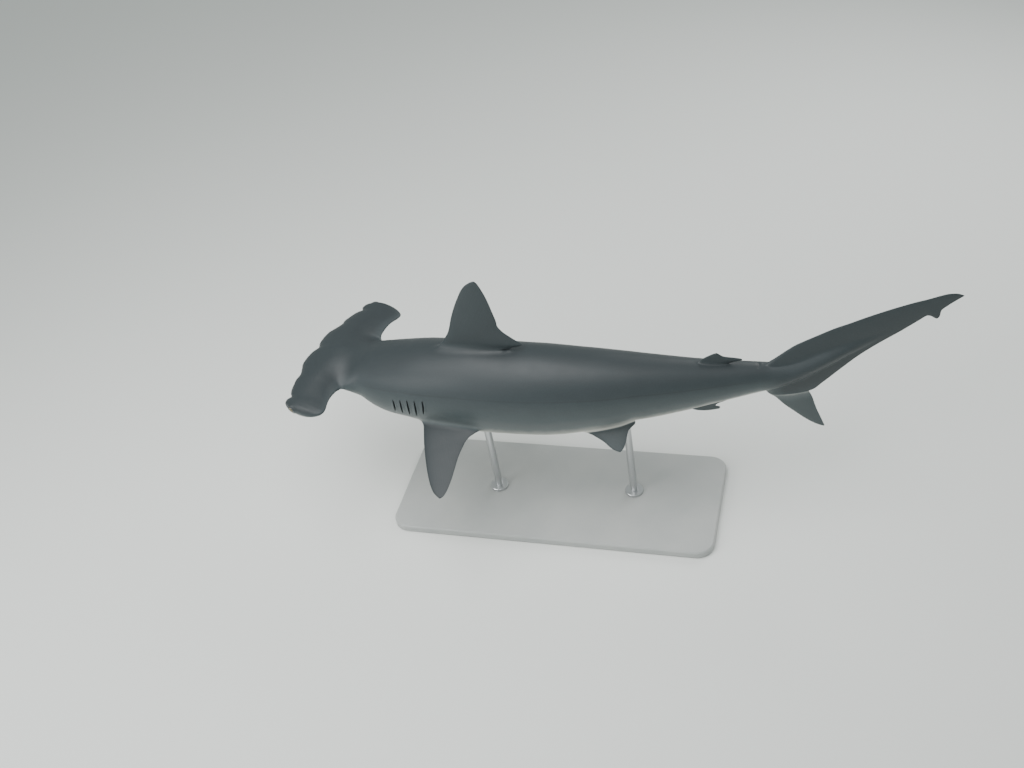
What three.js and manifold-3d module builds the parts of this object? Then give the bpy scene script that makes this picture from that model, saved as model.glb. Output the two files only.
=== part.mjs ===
import * as THREE from 'three';
import { mergeVertices } from 'three/addons/utils/BufferGeometryUtils.js';
import Module from 'manifold-3d';

// A life-size scalloped hammerhead shark, swimming, on a plain display stand.
// The shark is modelled straight and then bent along its swimming curve.
// In the straight frame x runs back from the snout, y is the right side, z is up from the body's
// middle line. In the finished frame the head is toward -X, the left side toward -Y, +Z is up and
// the origin is on the floor under the middle of the stand.

// Driving dimensions, in millimetres and degrees
const curveLength = 2300;
const middleLineHeight = 520;
const gap = 0.3;
const baseCentreStation = 880;
const straightAheadStation = 782;

// Heading of the body along its length: the swimming curve, in degrees to the right of straight
const swimHeading = [
  [0, -10.2], [230, -11], [506, -6.1], [782, 0], [1265, 10.1], [1610, 12], [2300, 9.4],
];

// Stations where one length of the body ends and the next begins
const neckStation = 255;
const waistStation = 870;
const ventStation = 1285;
const tailRootStation = 1622;

// Lines of the body: height of the back and of the belly, and half of the width
const backLine = [
  [255, 92], [368, 122], [506, 148], [690, 166], [874, 164], [1058, 147], [1242, 117], [1426, 85],
  [1622, 57],
];
const bellyLine = [
  [255, 79], [310, 115], [368, 130], [430, 133], [506, 145], [690, 163], [874, 163], [1058, 143],
  [1130, 129], [1190, 109], [1242, 104], [1340, 90], [1426, 74], [1530, 55], [1622, 39],
];
const halfWidthLine = [
  [255, 118], [368, 137], [506, 147], [690, 147], [874, 142], [1058, 126], [1242, 99],
  [1426, 69], [1622, 41],
];
const ringSides = 32;
const ringSpacing = 36;

// The head, seen from above: front edge and rear edge against the distance from the middle
const headHalfWidth = 301;
const headFrontEdge = [
  [0, 34], [10, 30], [32, 21], [58, 19], [84, 21], [112, 33], [136, 43], [148, 45], [164, 43],
  [190, 48], [214, 54], [230, 62], [242, 72], [251, 70], [261, 64], [273, 66], [284, 78], [292, 95],
  [298, 118], [301, 146],
];
const headRearEdge = [
  [118, 255], [120, 240], [124, 225], [131, 212], [143, 204], [160, 202], [180, 203], [205, 206],
  [232, 212], [254, 218], [266, 219], [278, 214], [288, 203], [296, 188], [300, 174], [301, 160],
];
// Rear end of the hammer's own wing shape, which runs on under the neck
const wingRearAtMiddle = 212;
const wingRearFrom = 4;
// The hammer's rear edge is a rounded rim: half of its thickness, and how far it takes to round off
const wingRimHalf = 4;
const wingRimRound = 6;
const headLevel = 38;
const neckLevelFrom = 120;
const neckFadeOut = 230;
const tipDroop = 7;
// The rear corners droop further: how much, and from which station and distance from the middle on
const rearDroop = 8;
const rearDroopStations = [100, 215];
const rearDroopOut = 150;
const headColumns = 22;
const headRows = 10;

// Half of the head's thickness over the width of the hammer, above and below its middle plane
const hammerUpper = [[0, 36], [118, 30], [220, 24], [276, 22], [301, 21]];
const hammerLower = [[0, 30], [118, 26], [220, 21], [276, 20], [301, 19]];
const hammerEndRound = 15;

// The neck where it rises out of the hammer: height above and below the middle plane, half width.
// At the neck station both heights are half of the body's.
const neckUpper = [[40, 0], [100, 20], [160, 42], [210, 62]];
const neckLower = [[60, 0], [115, 15], [160, 34], [205, 58]];
const neckHalfWidth = [[60, 200], [150, 172], [200, 147], [235, 126], [255, 118]];
// The neck's sides are steep where it meets the body and soft where it fades into the hammer
const neckSideSoft = 1.5;
const neckSideSteep = 0.5;
const neckSoftUntil = 165;
const rearRound = 16;

const eyeRadius = 15.5;
const eyeStation = 107;
const eyeOut = 284;
const eyeAboveMiddle = 1;
const eyeForward = 18;
const eyeSides = 16;
const lidProud = 5;
const lidRadius = 14.8;
const lidThickness = 3.4;

const nostrilOut = [222, 256];
const nostrilWidth = 5;
const nostrilDepth = 11;
const nostrilBehindEdge = 9;
const nostrilSteps = 6;

const mouthFront = 158;
const mouthCorner = 236;
const mouthHalfWidth = 82;
const mouthGap = 4.5;
const mouthDepth = 9;
const mouthSteps = 14;
const lipRadius = 8;
const lipSunk = 0.45;
const lipSides = 8;

// Gill slits, each with its station, height of its middle and length
const gillSlits = [[404, -14, 58], [431, -12, 68], [458, -10, 76], [485, -6, 74], [514, 4, 60]];
const gillDepth = 9;
const gillOpening = 3.2;
const gillLean = 7;
const gillBow = 4;
const gillSlant = 0.6;
const gillSteps = 6;

// Half of the thickness of a fin's rear edge
const edgeHalfThickness = 0.5;

// Fins. Each outline gives the front edge and the rear edge against the height of the fin.
const firstDorsal = {
  front: [
    [-34, 515], [0, 542], [37, 572], [67, 592], [135, 618], [198, 648], [250, 680], [269, 703],
    [276, 717],
  ],
  rear: [
    [-34, 764], [0, 767], [12, 796], [21, 832], [26, 841], [33, 836], [45, 820], [59, 803], [77, 783],
    [102, 769], [119, 768], [158, 761], [208, 751], [243, 740], [268, 729], [276, 722],
  ],
  heights: [-34, -10, 5, 14, 21, 26, 32, 45, 60, 78, 100, 125, 155, 185, 215, 243, 262, 271, 276],
  thickness: [[-34, 26], [0, 23], [60, 18], [180, 11], [276, 4]],
};
const secondDorsal = {
  front: [[-16, 1392], [0, 1402], [18, 1417], [35, 1442], [43, 1457]],
  rear: [
    [-16, 1490], [0, 1492], [10, 1518], [17, 1540], [21, 1538], [25, 1518], [29, 1484],
    [36, 1471], [43, 1463],
  ],
  heights: [-16, -5, 4, 11, 16, 20, 24, 28, 33, 39, 43],
  thickness: [[-16, 12], [0, 11], [20, 7], [43, 3]],
};
const analFin = {
  front: [[-16, 1350], [0, 1358], [27, 1374], [41, 1400], [48, 1430], [50, 1452]],
  rear: [
    [-16, 1452], [0, 1454], [8, 1480], [14, 1498], [19, 1488], [26, 1456], [32, 1449],
    [42, 1463], [50, 1464],
  ],
  heights: [-16, -5, 4, 10, 15, 20, 26, 33, 41, 47, 50],
  thickness: [[-16, 11], [0, 10], [20, 7], [50, 3]],
};
const pectoralFin = {
  baseOut: 108,
  baseUp: -69,
  tilt: 15,
  droop: 10,
  front: [
    [-30, 474], [0, 484], [25, 495], [52, 506], [102, 524], [161, 548], [209, 569], [248, 589],
    [274, 607], [290, 627],
  ],
  rear: [
    [-30, 640], [0, 644], [14, 672], [29, 688], [42, 680], [62, 664], [90, 655], [155, 649], [209, 649],
    [257, 645], [280, 639], [290, 632],
  ],
  heights: [-30, -8, 8, 20, 30, 42, 58, 80, 110, 145, 180, 215, 245, 266, 281, 290],
  thickness: [[-30, 25], [20, 21], [150, 12], [290, 4]],
};
const pelvicFin = {
  baseOut: 57,
  baseUp: -103,
  tilt: 35,
  droop: 3,
  front: [
    [-24, 1012], [0, 1018], [26, 1026], [40, 1050], [62, 1084], [78, 1101], [88, 1114], [95, 1129],
  ],
  rear: [
    [-24, 1158], [-14, 1166], [-6, 1184], [0, 1188], [8, 1181], [16, 1172], [28, 1162], [42, 1158],
    [60, 1154], [80, 1147], [95, 1137],
  ],
  heights: [-24, -14, -6, 0, 8, 16, 28, 42, 60, 76, 88, 95],
  thickness: [[-24, 14], [10, 12], [50, 8], [95, 3]],
};

// The tail fin. The upper lobe is measured along and across a line that climbs from the tail root.
const upperLobeRoot = 1610;
const upperLobeClimb = 23;
const upperLobe = {
  front: [
    [12, 52], [45, 58], [91, 70], [120, 77], [145, 81], [199, 82], [261, 83], [322, 79], [366, 77],
    [440, 71], [513, 62], [553, 55], [608, 47], [635, 36], [652, 20],
  ],
  rear: [
    [12, -58], [60, -92], [95, -119], [112, -120], [156, -106], [233, -77], [303, -53], [371, -37],
    [436, -25], [502, -10], [530, -4], [538, -8], [554, -29], [562, -25], [576, -4], [594, 3],
    [624, 11], [652, 17],
  ],
  heights: [
    12, 45, 75, 97, 112, 134, 156, 190, 233, 268, 303, 340, 380, 420, 460, 500, 520, 532, 543,
    554, 564, 576, 594, 615, 635, 648, 652,
  ],
  thickness: [[12, 40], [80, 26], [200, 16], [400, 10], [652, 3]],
};
const lowerLobe = {
  front: [
    [0, 1594], [40, 1606], [64, 1619], [82, 1640], [120, 1670], [158, 1706], [192, 1740], [217, 1770],
    [233, 1797],
  ],
  rear: [[0, 1740], [60, 1747], [97, 1761], [149, 1775], [204, 1794], [224, 1801], [233, 1804]],
  heights: [0, 25, 50, 64, 82, 105, 130, 158, 185, 208, 224, 233],
  thickness: [[0, 30], [60, 22], [120, 13], [233, 3]],
};
const tailCoreLength = 440;
const tailCoreClimb = 25;
const tailCoreSteps = 14;
const tailCoreEnd = 2;
const tailTaper = 0.9;
const tailTurnIn = 100;

// The stand
const baseLength = 1150;
const baseWidth = 460;
const baseThickness = 28;
const baseCorner = 60;
const baseEdge = 4;
const rodRadius = 13;
const rodCollarRadius = 32;
const rodCollarHeight = 10;
const rodSides = 32;
const rodStations = [655, 1150];

// Materials: living skin and the eye, and the stand's painted board and steel
const skinMaterial = (colour) => new THREE.MeshStandardMaterial({
  color: colour,
  roughness: 0.55,
  metalness: 0,
});
const bodyColour = 0x5f7277;
const finColour = 0x56686d;
const eyeMaterial = new THREE.MeshStandardMaterial({ color: 0x14181a, roughness: 0.15, metalness: 0 });
const boardMaterial = new THREE.MeshStandardMaterial({ color: 0x2b2d2f, roughness: 0.5, metalness: 0 });
const steelMaterial = new THREE.MeshStandardMaterial({ color: 0xb4b7ba, roughness: 0.3, metalness: 1 });

const wasm = await Module();
wasm.setup();

// A smooth line through a few points that never overshoots them
function lineThrough(points) {
  const count = points.length;
  const slopes = [];
  for (let i = 0; i < count - 1; i += 1) {
    slopes.push((points[i + 1][1] - points[i][1]) / (points[i + 1][0] - points[i][0]));
  }
  const tangents = [slopes[0]];
  for (let i = 1; i < count - 1; i += 1) {
    const before = slopes[i - 1];
    const after = slopes[i];
    tangents.push(before * after <= 0 ? 0 : (2 * before * after) / (before + after));
  }
  tangents.push(slopes[count - 2]);
  return (at) => {
    let i = 0;
    while (i < count - 2 && at > points[i + 1][0]) {
      i += 1;
    }
    const step = points[i + 1][0] - points[i][0];
    const t = THREE.MathUtils.clamp((at - points[i][0]) / step, 0, 1);
    const rise = points[i + 1][1] - points[i][1];
    const start = tangents[i] * step;
    const end = tangents[i + 1] * step;
    const bow = 3 * rise - 2 * start - end;
    const twist = start + end - 2 * rise;
    return points[i][1] + t * (start + t * (bow + t * twist));
  };
}

const back = lineThrough(backLine);
const belly = lineThrough(bellyLine);
const halfWidth = lineThrough(halfWidthLine);

// The swimming curve, walked in short steps from the snout to past the tail
const curveStep = 10;
const heading = lineThrough(swimHeading);
const curvePoints = [new THREE.Vector2(0, 0)];
for (let station = 0; station < curveLength; station += curveStep) {
  const angle = THREE.MathUtils.degToRad(heading(station + curveStep / 2));
  const step = new THREE.Vector2(Math.cos(angle), Math.sin(angle)).multiplyScalar(curveStep);
  curvePoints.push(curvePoints.at(-1).clone().add(step));
}

// Place and heading of the middle line at a station, level on the curve's own plane
function curveAt(station) {
  const index = THREE.MathUtils.clamp(Math.floor(station / curveStep), 0, curvePoints.length - 2);
  const point = curvePoints[index].clone().lerp(curvePoints[index + 1], station / curveStep - index);
  return { point, angle: THREE.MathUtils.degToRad(heading(station)) };
}

const onTheStraight = curveAt(straightAheadStation).point;
const underTheBase = baseCentreStation - straightAheadStation;

// Takes a point of the straight shark to its place on the curve above the stand
function bend(point) {
  const { point: centre, angle } = curveAt(point.x);
  return new THREE.Vector3(
    centre.x - onTheStraight.x - underTheBase - point.y * Math.sin(angle),
    centre.y - onTheStraight.y + point.y * Math.cos(angle),
    point.z + middleLineHeight,
  );
}

function bendGeometry(geometry) {
  const bent = geometry.clone();
  const places = bent.getAttribute('position');
  const point = new THREE.Vector3();
  for (let i = 0; i < places.count; i += 1) {
    point.fromBufferAttribute(places, i);
    places.setXYZ(i, ...bend(point).toArray());
  }
  return bent;
}

function geometryFrom(points, faces) {
  const geometry = new THREE.BufferGeometry();
  geometry.setAttribute('position', new THREE.Float32BufferAttribute(points.flatMap((p) => p.toArray()), 3));
  geometry.setIndex(faces.flat());
  return geometry;
}

// A closed surface through rings of points, with a fan over each end. From the ring place
// mirrorFrom on, the squares are split the other way, so both faces of a fin split alike.
function loft(rings, mirrorFrom = Infinity) {
  const sides = rings[0].length;
  const points = rings.flat();
  const faces = [];
  for (let ring = 0; ring < rings.length - 1; ring += 1) {
    for (let side = 0; side < sides; side += 1) {
      const a = ring * sides + side;
      const b = ring * sides + ((side + 1) % sides);
      const c = b + sides;
      const d = a + sides;
      faces.push(...(side < mirrorFrom ? [[a, b, c], [a, c, d]] : [[a, b, d], [b, c, d]]));
    }
  }
  for (const [start, outward] of [[0, false], [(rings.length - 1) * sides, true]]) {
    const ring = rings[start / sides];
    const middle = points.length;
    points.push(ring.reduce((sum, p) => sum.add(p), new THREE.Vector3()).divideScalar(sides));
    for (let side = 0; side < sides; side += 1) {
      const a = start + side;
      const b = start + ((side + 1) % sides);
      faces.push(outward ? [a, b, middle] : [b, a, middle]);
    }
  }
  return geometryFrom(points, faces);
}

function isInsideOut(geometry) {
  const places = geometry.getAttribute('position');
  const index = geometry.getIndex();
  const corner = [new THREE.Vector3(), new THREE.Vector3(), new THREE.Vector3()];
  let volume = 0;
  for (let i = 0; i < index.count; i += 3) {
    corner.forEach((c, k) => c.fromBufferAttribute(places, index.getX(i + k)));
    volume += corner[0].dot(corner[1].clone().cross(corner[2]));
  }
  return volume < 0;
}

function turnFaces(geometry) {
  const index = geometry.getIndex();
  for (let i = 0; i < index.count; i += 3) {
    const second = index.getX(i + 1);
    index.setX(i + 1, index.getX(i + 2));
    index.setX(i + 2, second);
  }
}

function solidFrom(geometry) {
  const bare = geometry.clone();
  bare.deleteAttribute('normal');
  bare.deleteAttribute('uv');
  const closed = mergeVertices(bare, 1e-4);
  if (isInsideOut(closed)) {
    turnFaces(closed);
  }
  return new wasm.Manifold(new wasm.Mesh({
    numProp: 3,
    vertProperties: closed.getAttribute('position').array,
    triVerts: Uint32Array.from(closed.getIndex().array),
  }));
}

// The largest closed surface of a solid, as a geometry
function geometryOf(solid) {
  const pieces = solid.decompose();
  const largest = pieces.reduce((best, piece) => (piece.volume() > best.volume() ? piece : best));
  const mesh = largest.getMesh();
  const geometry = new THREE.BufferGeometry();
  geometry.setAttribute('position', new THREE.Float32BufferAttribute(mesh.vertProperties, 3));
  geometry.setIndex(Array.from(mesh.triVerts));
  return geometry;
}

// Middle of the body's section above the middle line, and half of its height
const sectionMiddle = (station) => (back(station) - belly(station)) / 2;
const halfHeight = (station) => (back(station) + belly(station)) / 2;

// One section of the body as a ring of points, wider by grow all round
function bodyRing(station, grow) {
  return Array.from({ length: ringSides }, (_, side) => {
    const turn = (2 * Math.PI * side) / ringSides;
    return new THREE.Vector3(
      station,
      (halfWidth(station) + grow) * Math.sin(turn),
      sectionMiddle(station) + (halfHeight(station) + grow) * Math.cos(turn),
    );
  });
}

function bodyPiece(from, to, grow = 0) {
  const steps = Math.ceil((to - from) / ringSpacing);
  const rings = [];
  for (let step = 0; step <= steps; step += 1) {
    rings.push(bodyRing(THREE.MathUtils.lerp(from, to, step / steps), grow));
  }
  return solidFrom(loft(rings));
}

// Place on the flank at a station and height, on the right side
function flankOut(station, height) {
  const share = (height - sectionMiddle(station)) / halfHeight(station);
  return halfWidth(station) * Math.sqrt(1 - share * share);
}

// Thickness of a fin or of the hammer along its chord: round in front, thin behind, 1 at most
const foilPeak = 0.4;
const foilFull = foilPeak ** 0.5 * (1 - foilPeak) ** 0.75;
const foilShape = (share) => (share ** 0.5 * (1 - share) ** 0.75) / foilFull;

// The head: one sheet above and one below a middle plane, joined all round the hammer's outline
const frontEdge = lineThrough(headFrontEdge);
const rearEdge = lineThrough(headRearEdge);
const wingRear = lineThrough([[0, wingRearAtMiddle], ...headRearEdge.slice(wingRearFrom)]);
const upperHammer = lineThrough(hammerUpper);
const lowerHammer = lineThrough(hammerLower);
const neckJoin = [neckStation, halfHeight(neckStation)];
const upperNeck = lineThrough([...neckUpper, neckJoin]);
const lowerNeck = lineThrough([...neckLower, neckJoin]);
const neckSpread = lineThrough(neckHalfWidth);
const neckOut = halfWidth(neckStation);
const cornerSlope = (headRearEdge[0][1] - headRearEdge[1][1]) / (headRearEdge[1][0] - headRearEdge[0][0]);

function headMiddle(station, out) {
  const intoNeck = THREE.MathUtils.smoothstep(station, neckLevelFrom, neckStation)
    * (1 - THREE.MathUtils.smoothstep(out, neckOut, neckFadeOut));
  const farBack = THREE.MathUtils.smoothstep(station, ...rearDroopStations);
  const atCorner = farBack * THREE.MathUtils.smoothstep(out, rearDroopOut, headHalfWidth);
  const droop = tipDroop * THREE.MathUtils.smoothstep(out, neckOut, headHalfWidth) + rearDroop * atCorner;
  return THREE.MathUtils.lerp(headLevel, sectionMiddle(neckStation), intoNeck) - droop;
}

// Height of the head's skin over its middle plane: hammer and neck, blended
function headThickness(station, out, hammer, neck) {
  const front = frontEdge(out);
  const along = THREE.MathUtils.clamp((station - front) / (wingRear(out) - front), 0, 1);
  const pastEnd = Math.max(0, out - (headHalfWidth - hammerEndRound)) / hammerEndRound;
  const fromRim = 1 - THREE.MathUtils.clamp((wingRear(out) - station) / wingRimRound, 0, 1);
  const rim = wingRimHalf * Math.sqrt(1 - fromRim * fromRim);
  const towardsEnd = Math.sqrt(Math.max(0, 1 - pastEnd * pastEnd));
  const foil = Math.hypot(hammer(out) * foilShape(along), rim) * towardsEnd;
  const across = Math.min(1, out / neckSpread(station));
  const steep = THREE.MathUtils.smoothstep(station, neckSoftUntil, neckStation);
  const side = (1 - across * across) ** THREE.MathUtils.lerp(neckSideSoft, neckSideSteep, steep);
  const rearOfSide = out > neckOut ? rearEdge(out) : neckStation + cornerSlope * (neckOut - out);
  const fromRear = 1 - THREE.MathUtils.clamp((rearOfSide - station) / rearRound, 0, 1);
  const tube = neck(station) * side * Math.sqrt(1 - fromRear * fromRear);
  return Math.cbrt(foil ** 3 + tube ** 3);
}

const headTop = (station, y) => (
  headMiddle(station, Math.abs(y)) + headThickness(station, Math.abs(y), upperHammer, upperNeck)
);
const headUnder = (station, y) => (
  headMiddle(station, Math.abs(y)) - headThickness(station, Math.abs(y), lowerHammer, lowerNeck)
);

function headShell() {
  const columns = [];
  for (let side = 0; side <= ringSides / 2; side += 1) {
    columns.push(neckOut * Math.sin(Math.PI * (side / (ringSides / 2) - 0.5)));
  }
  for (let column = 1; column <= headColumns; column += 1) {
    const share = column / headColumns;
    const spread = (share + (1 - Math.cos(Math.PI * share)) / 2) / 2;
    const out = THREE.MathUtils.lerp(neckOut, headHalfWidth, spread);
    columns.push(out);
    columns.unshift(-out);
  }
  const points = [];
  const rowPoints = (height) => columns.map((y) => {
    const out = Math.abs(y);
    const rear = out > neckOut + 1e-6 ? rearEdge(out) : neckStation;
    const row = [];
    for (let step = 0; step <= headRows; step += 1) {
      const share = (1 - Math.cos((Math.PI * step) / headRows)) / 2;
      const station = THREE.MathUtils.lerp(frontEdge(out), rear, share);
      const atRear = step === headRows && out > neckOut - 1e-6;
      const onOutline = step === 0 || atRear || out > headHalfWidth - 1e-6;
      row.push(new THREE.Vector3(station, y, onOutline ? headMiddle(station, out) : height(station, y)));
    }
    return row;
  });
  const faces = [];
  const sheets = [rowPoints(headTop), rowPoints(headUnder)];
  sheets.forEach((sheet, which) => {
    const start = points.length;
    points.push(...sheet.flat());
    for (let column = 0; column < columns.length - 1; column += 1) {
      for (let row = 0; row < headRows; row += 1) {
        const a = start + column * (headRows + 1) + row;
        const b = a + headRows + 1;
        const squares = [[a, b, b + 1], [a, b + 1, a + 1]];
        faces.push(...squares.map((face) => (which === 0 ? face : face.toReversed())));
      }
    }
  });
  const neckMiddle = points.length;
  points.push(new THREE.Vector3(neckStation, 0, sectionMiddle(neckStation)));
  const sheetSize = columns.length * (headRows + 1);
  for (let side = 0; side < ringSides / 2; side += 1) {
    const a = (headColumns + side) * (headRows + 1) + headRows;
    const b = a + headRows + 1;
    faces.push([a, b, neckMiddle], [b + sheetSize, a + sheetSize, neckMiddle]);
  }
  return solidFrom(geometryFrom(points, faces));
}

// A narrow slot, or with rounded corners a lip, along a path on the skin. Each step of the path has
// its place, the direction across it, the direction into the skin, its width and its depth.
const slotProud = 5;
function slotSolid(path) {
  return solidFrom(loft(path.map(({ at, across, inward, width, depth }) => [
    [-0.5, -slotProud], [0.5, -slotProud], [0.3, depth], [-0.3, depth],
  ].map(([share, deep]) => (
    at.clone().addScaledVector(across, share * width).addScaledVector(inward, deep)
  )))));
}

function lipSolid(path, radius) {
  return solidFrom(loft(path.map(({ at, across, inward, swell }) => (
    Array.from({ length: lipSides }, (_, side) => {
      const turn = (2 * Math.PI * side) / lipSides;
      return at.clone()
        .addScaledVector(across, radius * swell * Math.cos(turn))
        .addScaledVector(inward, radius * swell * (Math.sin(turn) + lipSunk));
    })
  ))));
}

// The steps of a path on the underside of the head, from its plan
function pathUnderHead(plan, width, depth) {
  const reach = 1;
  return plan.map(([station, y], i) => {
    const before = plan[Math.max(0, i - 1)];
    const after = plan[Math.min(plan.length - 1, i + 1)];
    const way = new THREE.Vector2(after[0] - before[0], after[1] - before[1]).normalize();
    const slopeX = (headUnder(station + reach, y) - headUnder(station - reach, y)) / (2 * reach);
    const slopeY = (headUnder(station, y + reach) - headUnder(station, y - reach)) / (2 * reach);
    const share = i / (plan.length - 1);
    const swell = 0.25 + 0.75 * Math.sqrt(Math.sin(Math.PI * share));
    return {
      at: new THREE.Vector3(station, y, headUnder(station, y)),
      across: new THREE.Vector3(way.y, -way.x, 0),
      inward: new THREE.Vector3(-slopeX, -slopeY, 1).normalize(),
      width: width * swell,
      depth: depth * swell,
      swell,
    };
  });
}

const mouthPlan = Array.from({ length: mouthSteps + 1 }, (_, step) => {
  const turn = Math.PI * (step / mouthSteps - 0.5);
  return [
    mouthCorner - (mouthCorner - mouthFront) * Math.cos(turn) ** 0.8,
    mouthHalfWidth * Math.sin(turn),
  ];
});

const nostrilPlan = (side) => Array.from({ length: nostrilSteps + 1 }, (_, step) => {
  const out = THREE.MathUtils.lerp(nostrilOut[0], nostrilOut[1], step / nostrilSteps);
  return [frontEdge(out) + nostrilBehindEdge, side * out];
});

// Middle of an eye, and the way it looks: outward and a little forward
const eyeMiddle = (side) => new THREE.Vector3(
  eyeStation,
  side * eyeOut,
  headMiddle(eyeStation, eyeOut) + eyeAboveMiddle,
);
const eyeTurn = THREE.MathUtils.degToRad(eyeForward);
const eyeLook = (side) => new THREE.Vector3(-Math.sin(eyeTurn), side * Math.cos(eyeTurn), 0);

function ball(radius, centre) {
  const geometry = new THREE.SphereGeometry(radius, eyeSides, eyeSides / 2);
  geometry.rotateZ(-Math.PI / 2);
  geometry.translate(...centre.toArray());
  return solidFrom(geometry);
}

function headSolid() {
  const mouthPath = pathUnderHead(mouthPlan, mouthGap, mouthDepth);
  let head = headShell().add(lipSolid(mouthPath, lipRadius)).subtract(slotSolid(mouthPath));
  for (const side of [-1, 1]) {
    const lids = new THREE.TorusGeometry(lidRadius, lidThickness, lipSides, eyeSides);
    lids.lookAt(eyeLook(side));
    lids.translate(...eyeMiddle(side).addScaledVector(eyeLook(side), lidProud).toArray());
    head = head
      .add(solidFrom(lids))
      .subtract(ball(eyeRadius + gap, eyeMiddle(side)))
      .subtract(slotSolid(pathUnderHead(nostrilPlan(side), nostrilWidth, nostrilDepth)));
  }
  return head;
}

// The gill slits run into the body and forward, so that a thin flap lies over each one
function gillSlot([station, height, length], side) {
  const path = Array.from({ length: gillSteps + 1 }, (_, step) => {
    const share = step / gillSteps - 0.5;
    const swell = 0.15 + 0.85 * Math.sqrt(Math.max(0, 1 - (2 * share) ** 2));
    const x = station + gillLean * share + gillBow * (1 - (2 * share) ** 2);
    const z = height + length * share;
    const out = flankOut(x, z);
    const normal = new THREE.Vector3(
      0,
      (side * out) / halfWidth(x) ** 2,
      (z - sectionMiddle(x)) / halfHeight(x) ** 2,
    ).normalize();
    return {
      at: new THREE.Vector3(x, side * out, z),
      across: new THREE.Vector3(1, 0, 0),
      inward: normal.negate().setX(-gillSlant).normalize(),
      width: gillOpening * swell,
      depth: gillDepth * swell,
    };
  });
  return slotSolid(path);
}

function frontBodySolid() {
  let body = bodyPiece(neckStation + gap, waistStation);
  for (const side of [-1, 1]) {
    for (const slit of gillSlits) {
      body = body.subtract(gillSlot(slit, side));
    }
  }
  return body;
}

// A fin from its outline: sections at its heights, each round in front and thin behind. The place
// function takes a distance along the chord, half of the thickness and a height to a point.
const chordShares = [0, 0.03, 0.1, 0.22, 0.38, 0.56, 0.74, 0.9, 1];
function finSolid({ front, rear, heights, thickness }, place, grow = 0) {
  const frontOf = lineThrough(front);
  const rearOf = lineThrough(rear);
  const thicknessOf = lineThrough(thickness);
  const rings = heights.map((height) => {
    const section = (share, face) => {
      const along = THREE.MathUtils.lerp(frontOf(height) - grow, rearOf(height) + grow, share);
      const half = (thicknessOf(height) / 2) * foilShape(share) + edgeHalfThickness * share + grow;
      return place(along, share === 0 ? 0 : face * half, height);
    };
    const upper = chordShares.map((share) => section(share, 1));
    const lower = chordShares.slice(1).reverse().map((share) => section(share, -1));
    return [...upper, ...lower];
  });
  return solidFrom(loft(rings, chordShares.length));
}

const onBack = (along, half, height) => new THREE.Vector3(along, half, back(along) + height);
const onBelly = (along, half, height) => new THREE.Vector3(along, half, -belly(along) - height);
const belowLine = (along, half, height) => new THREE.Vector3(along, half, -height);

// Place function of a paired fin on one side, level at its root and drooping towards its tip
function pairedPlace({ baseOut, baseUp, tilt, droop, heights }, side) {
  const angle = THREE.MathUtils.degToRad(tilt);
  const span = heights.at(-1);
  return (along, half, height) => new THREE.Vector3(
    along,
    side * (baseOut + height * Math.cos(angle) + half * Math.sin(angle)),
    baseUp - height * Math.sin(angle) + half * Math.cos(angle) - droop * (Math.max(0, height) / span) ** 2,
  );
}

const climbAngle = THREE.MathUtils.degToRad(upperLobeClimb);
const coreAngle = THREE.MathUtils.degToRad(tailCoreClimb);
const alongLobe = (across, half, along) => new THREE.Vector3(
  upperLobeRoot + along * Math.cos(climbAngle) - across * Math.sin(climbAngle),
  half,
  along * Math.sin(climbAngle) + across * Math.cos(climbAngle),
);

// The upper lobe carries the end of the body, which climbs into it and tapers away
function upperLobeSolid(grow = 0) {
  const rings = [];
  for (let step = 0; step <= tailCoreSteps; step += 1) {
    const share = step / tailCoreSteps;
    const station = tailRootStation + gap + tailCoreLength * share;
    const past = station - tailRootStation;
    const turnIn = Math.min(past, tailTurnIn);
    const rise = Math.tan(coreAngle) * (turnIn * turnIn / (2 * tailTurnIn) + Math.max(0, past - tailTurnIn));
    const taper = (1 - share) ** tailTaper;
    rings.push(bodyRing(tailRootStation, 0).map((point) => new THREE.Vector3(
      station,
      point.y * taper + Math.sign(point.y) * (tailCoreEnd + grow),
      point.z * taper + Math.sign(point.z) * (tailCoreEnd + grow) + rise,
    )));
  }
  return solidFrom(loft(rings)).add(finSolid(upperLobe, alongLobe, grow));
}

// The stand: a board with rounded corners, and rods with collars cut to the belly above them
function standBase() {
  const outline = new THREE.Shape();
  const x = baseLength / 2 - baseEdge;
  const y = baseWidth / 2 - baseEdge;
  const corner = baseCorner - baseEdge;
  outline.absarc(x - corner, y - corner, corner, 0, Math.PI / 2);
  outline.absarc(corner - x, y - corner, corner, Math.PI / 2, Math.PI);
  outline.absarc(corner - x, corner - y, corner, Math.PI, 1.5 * Math.PI);
  outline.absarc(x - corner, corner - y, corner, 1.5 * Math.PI, 2 * Math.PI);
  const geometry = new THREE.ExtrudeGeometry(outline, {
    depth: baseThickness - 2 * baseEdge,
    bevelThickness: baseEdge,
    bevelSize: baseEdge,
    bevelSegments: 1,
    curveSegments: 8,
  });
  geometry.translate(0, 0, baseEdge);
  return solidFrom(geometry);
}

function standRod(station, bodyAbove) {
  const foot = baseThickness + gap;
  const profile = [
    [0, foot], [rodCollarRadius, foot], [rodCollarRadius, foot + rodCollarHeight - 2],
    [rodCollarRadius - 2, foot + rodCollarHeight], [rodRadius, foot + rodCollarHeight],
    [rodRadius, middleLineHeight], [0, middleLineHeight],
  ].map(([radius, height]) => new THREE.Vector2(radius, height));
  const geometry = new THREE.LatheGeometry(profile, rodSides);
  geometry.rotateX(Math.PI / 2);
  const place = bend(new THREE.Vector3(station, 0, 0));
  geometry.translate(place.x, place.y, 0);
  return solidFrom(geometry).subtract(bodyAbove);
}

const bent = (solid) => bendGeometry(geometryOf(solid));

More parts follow.
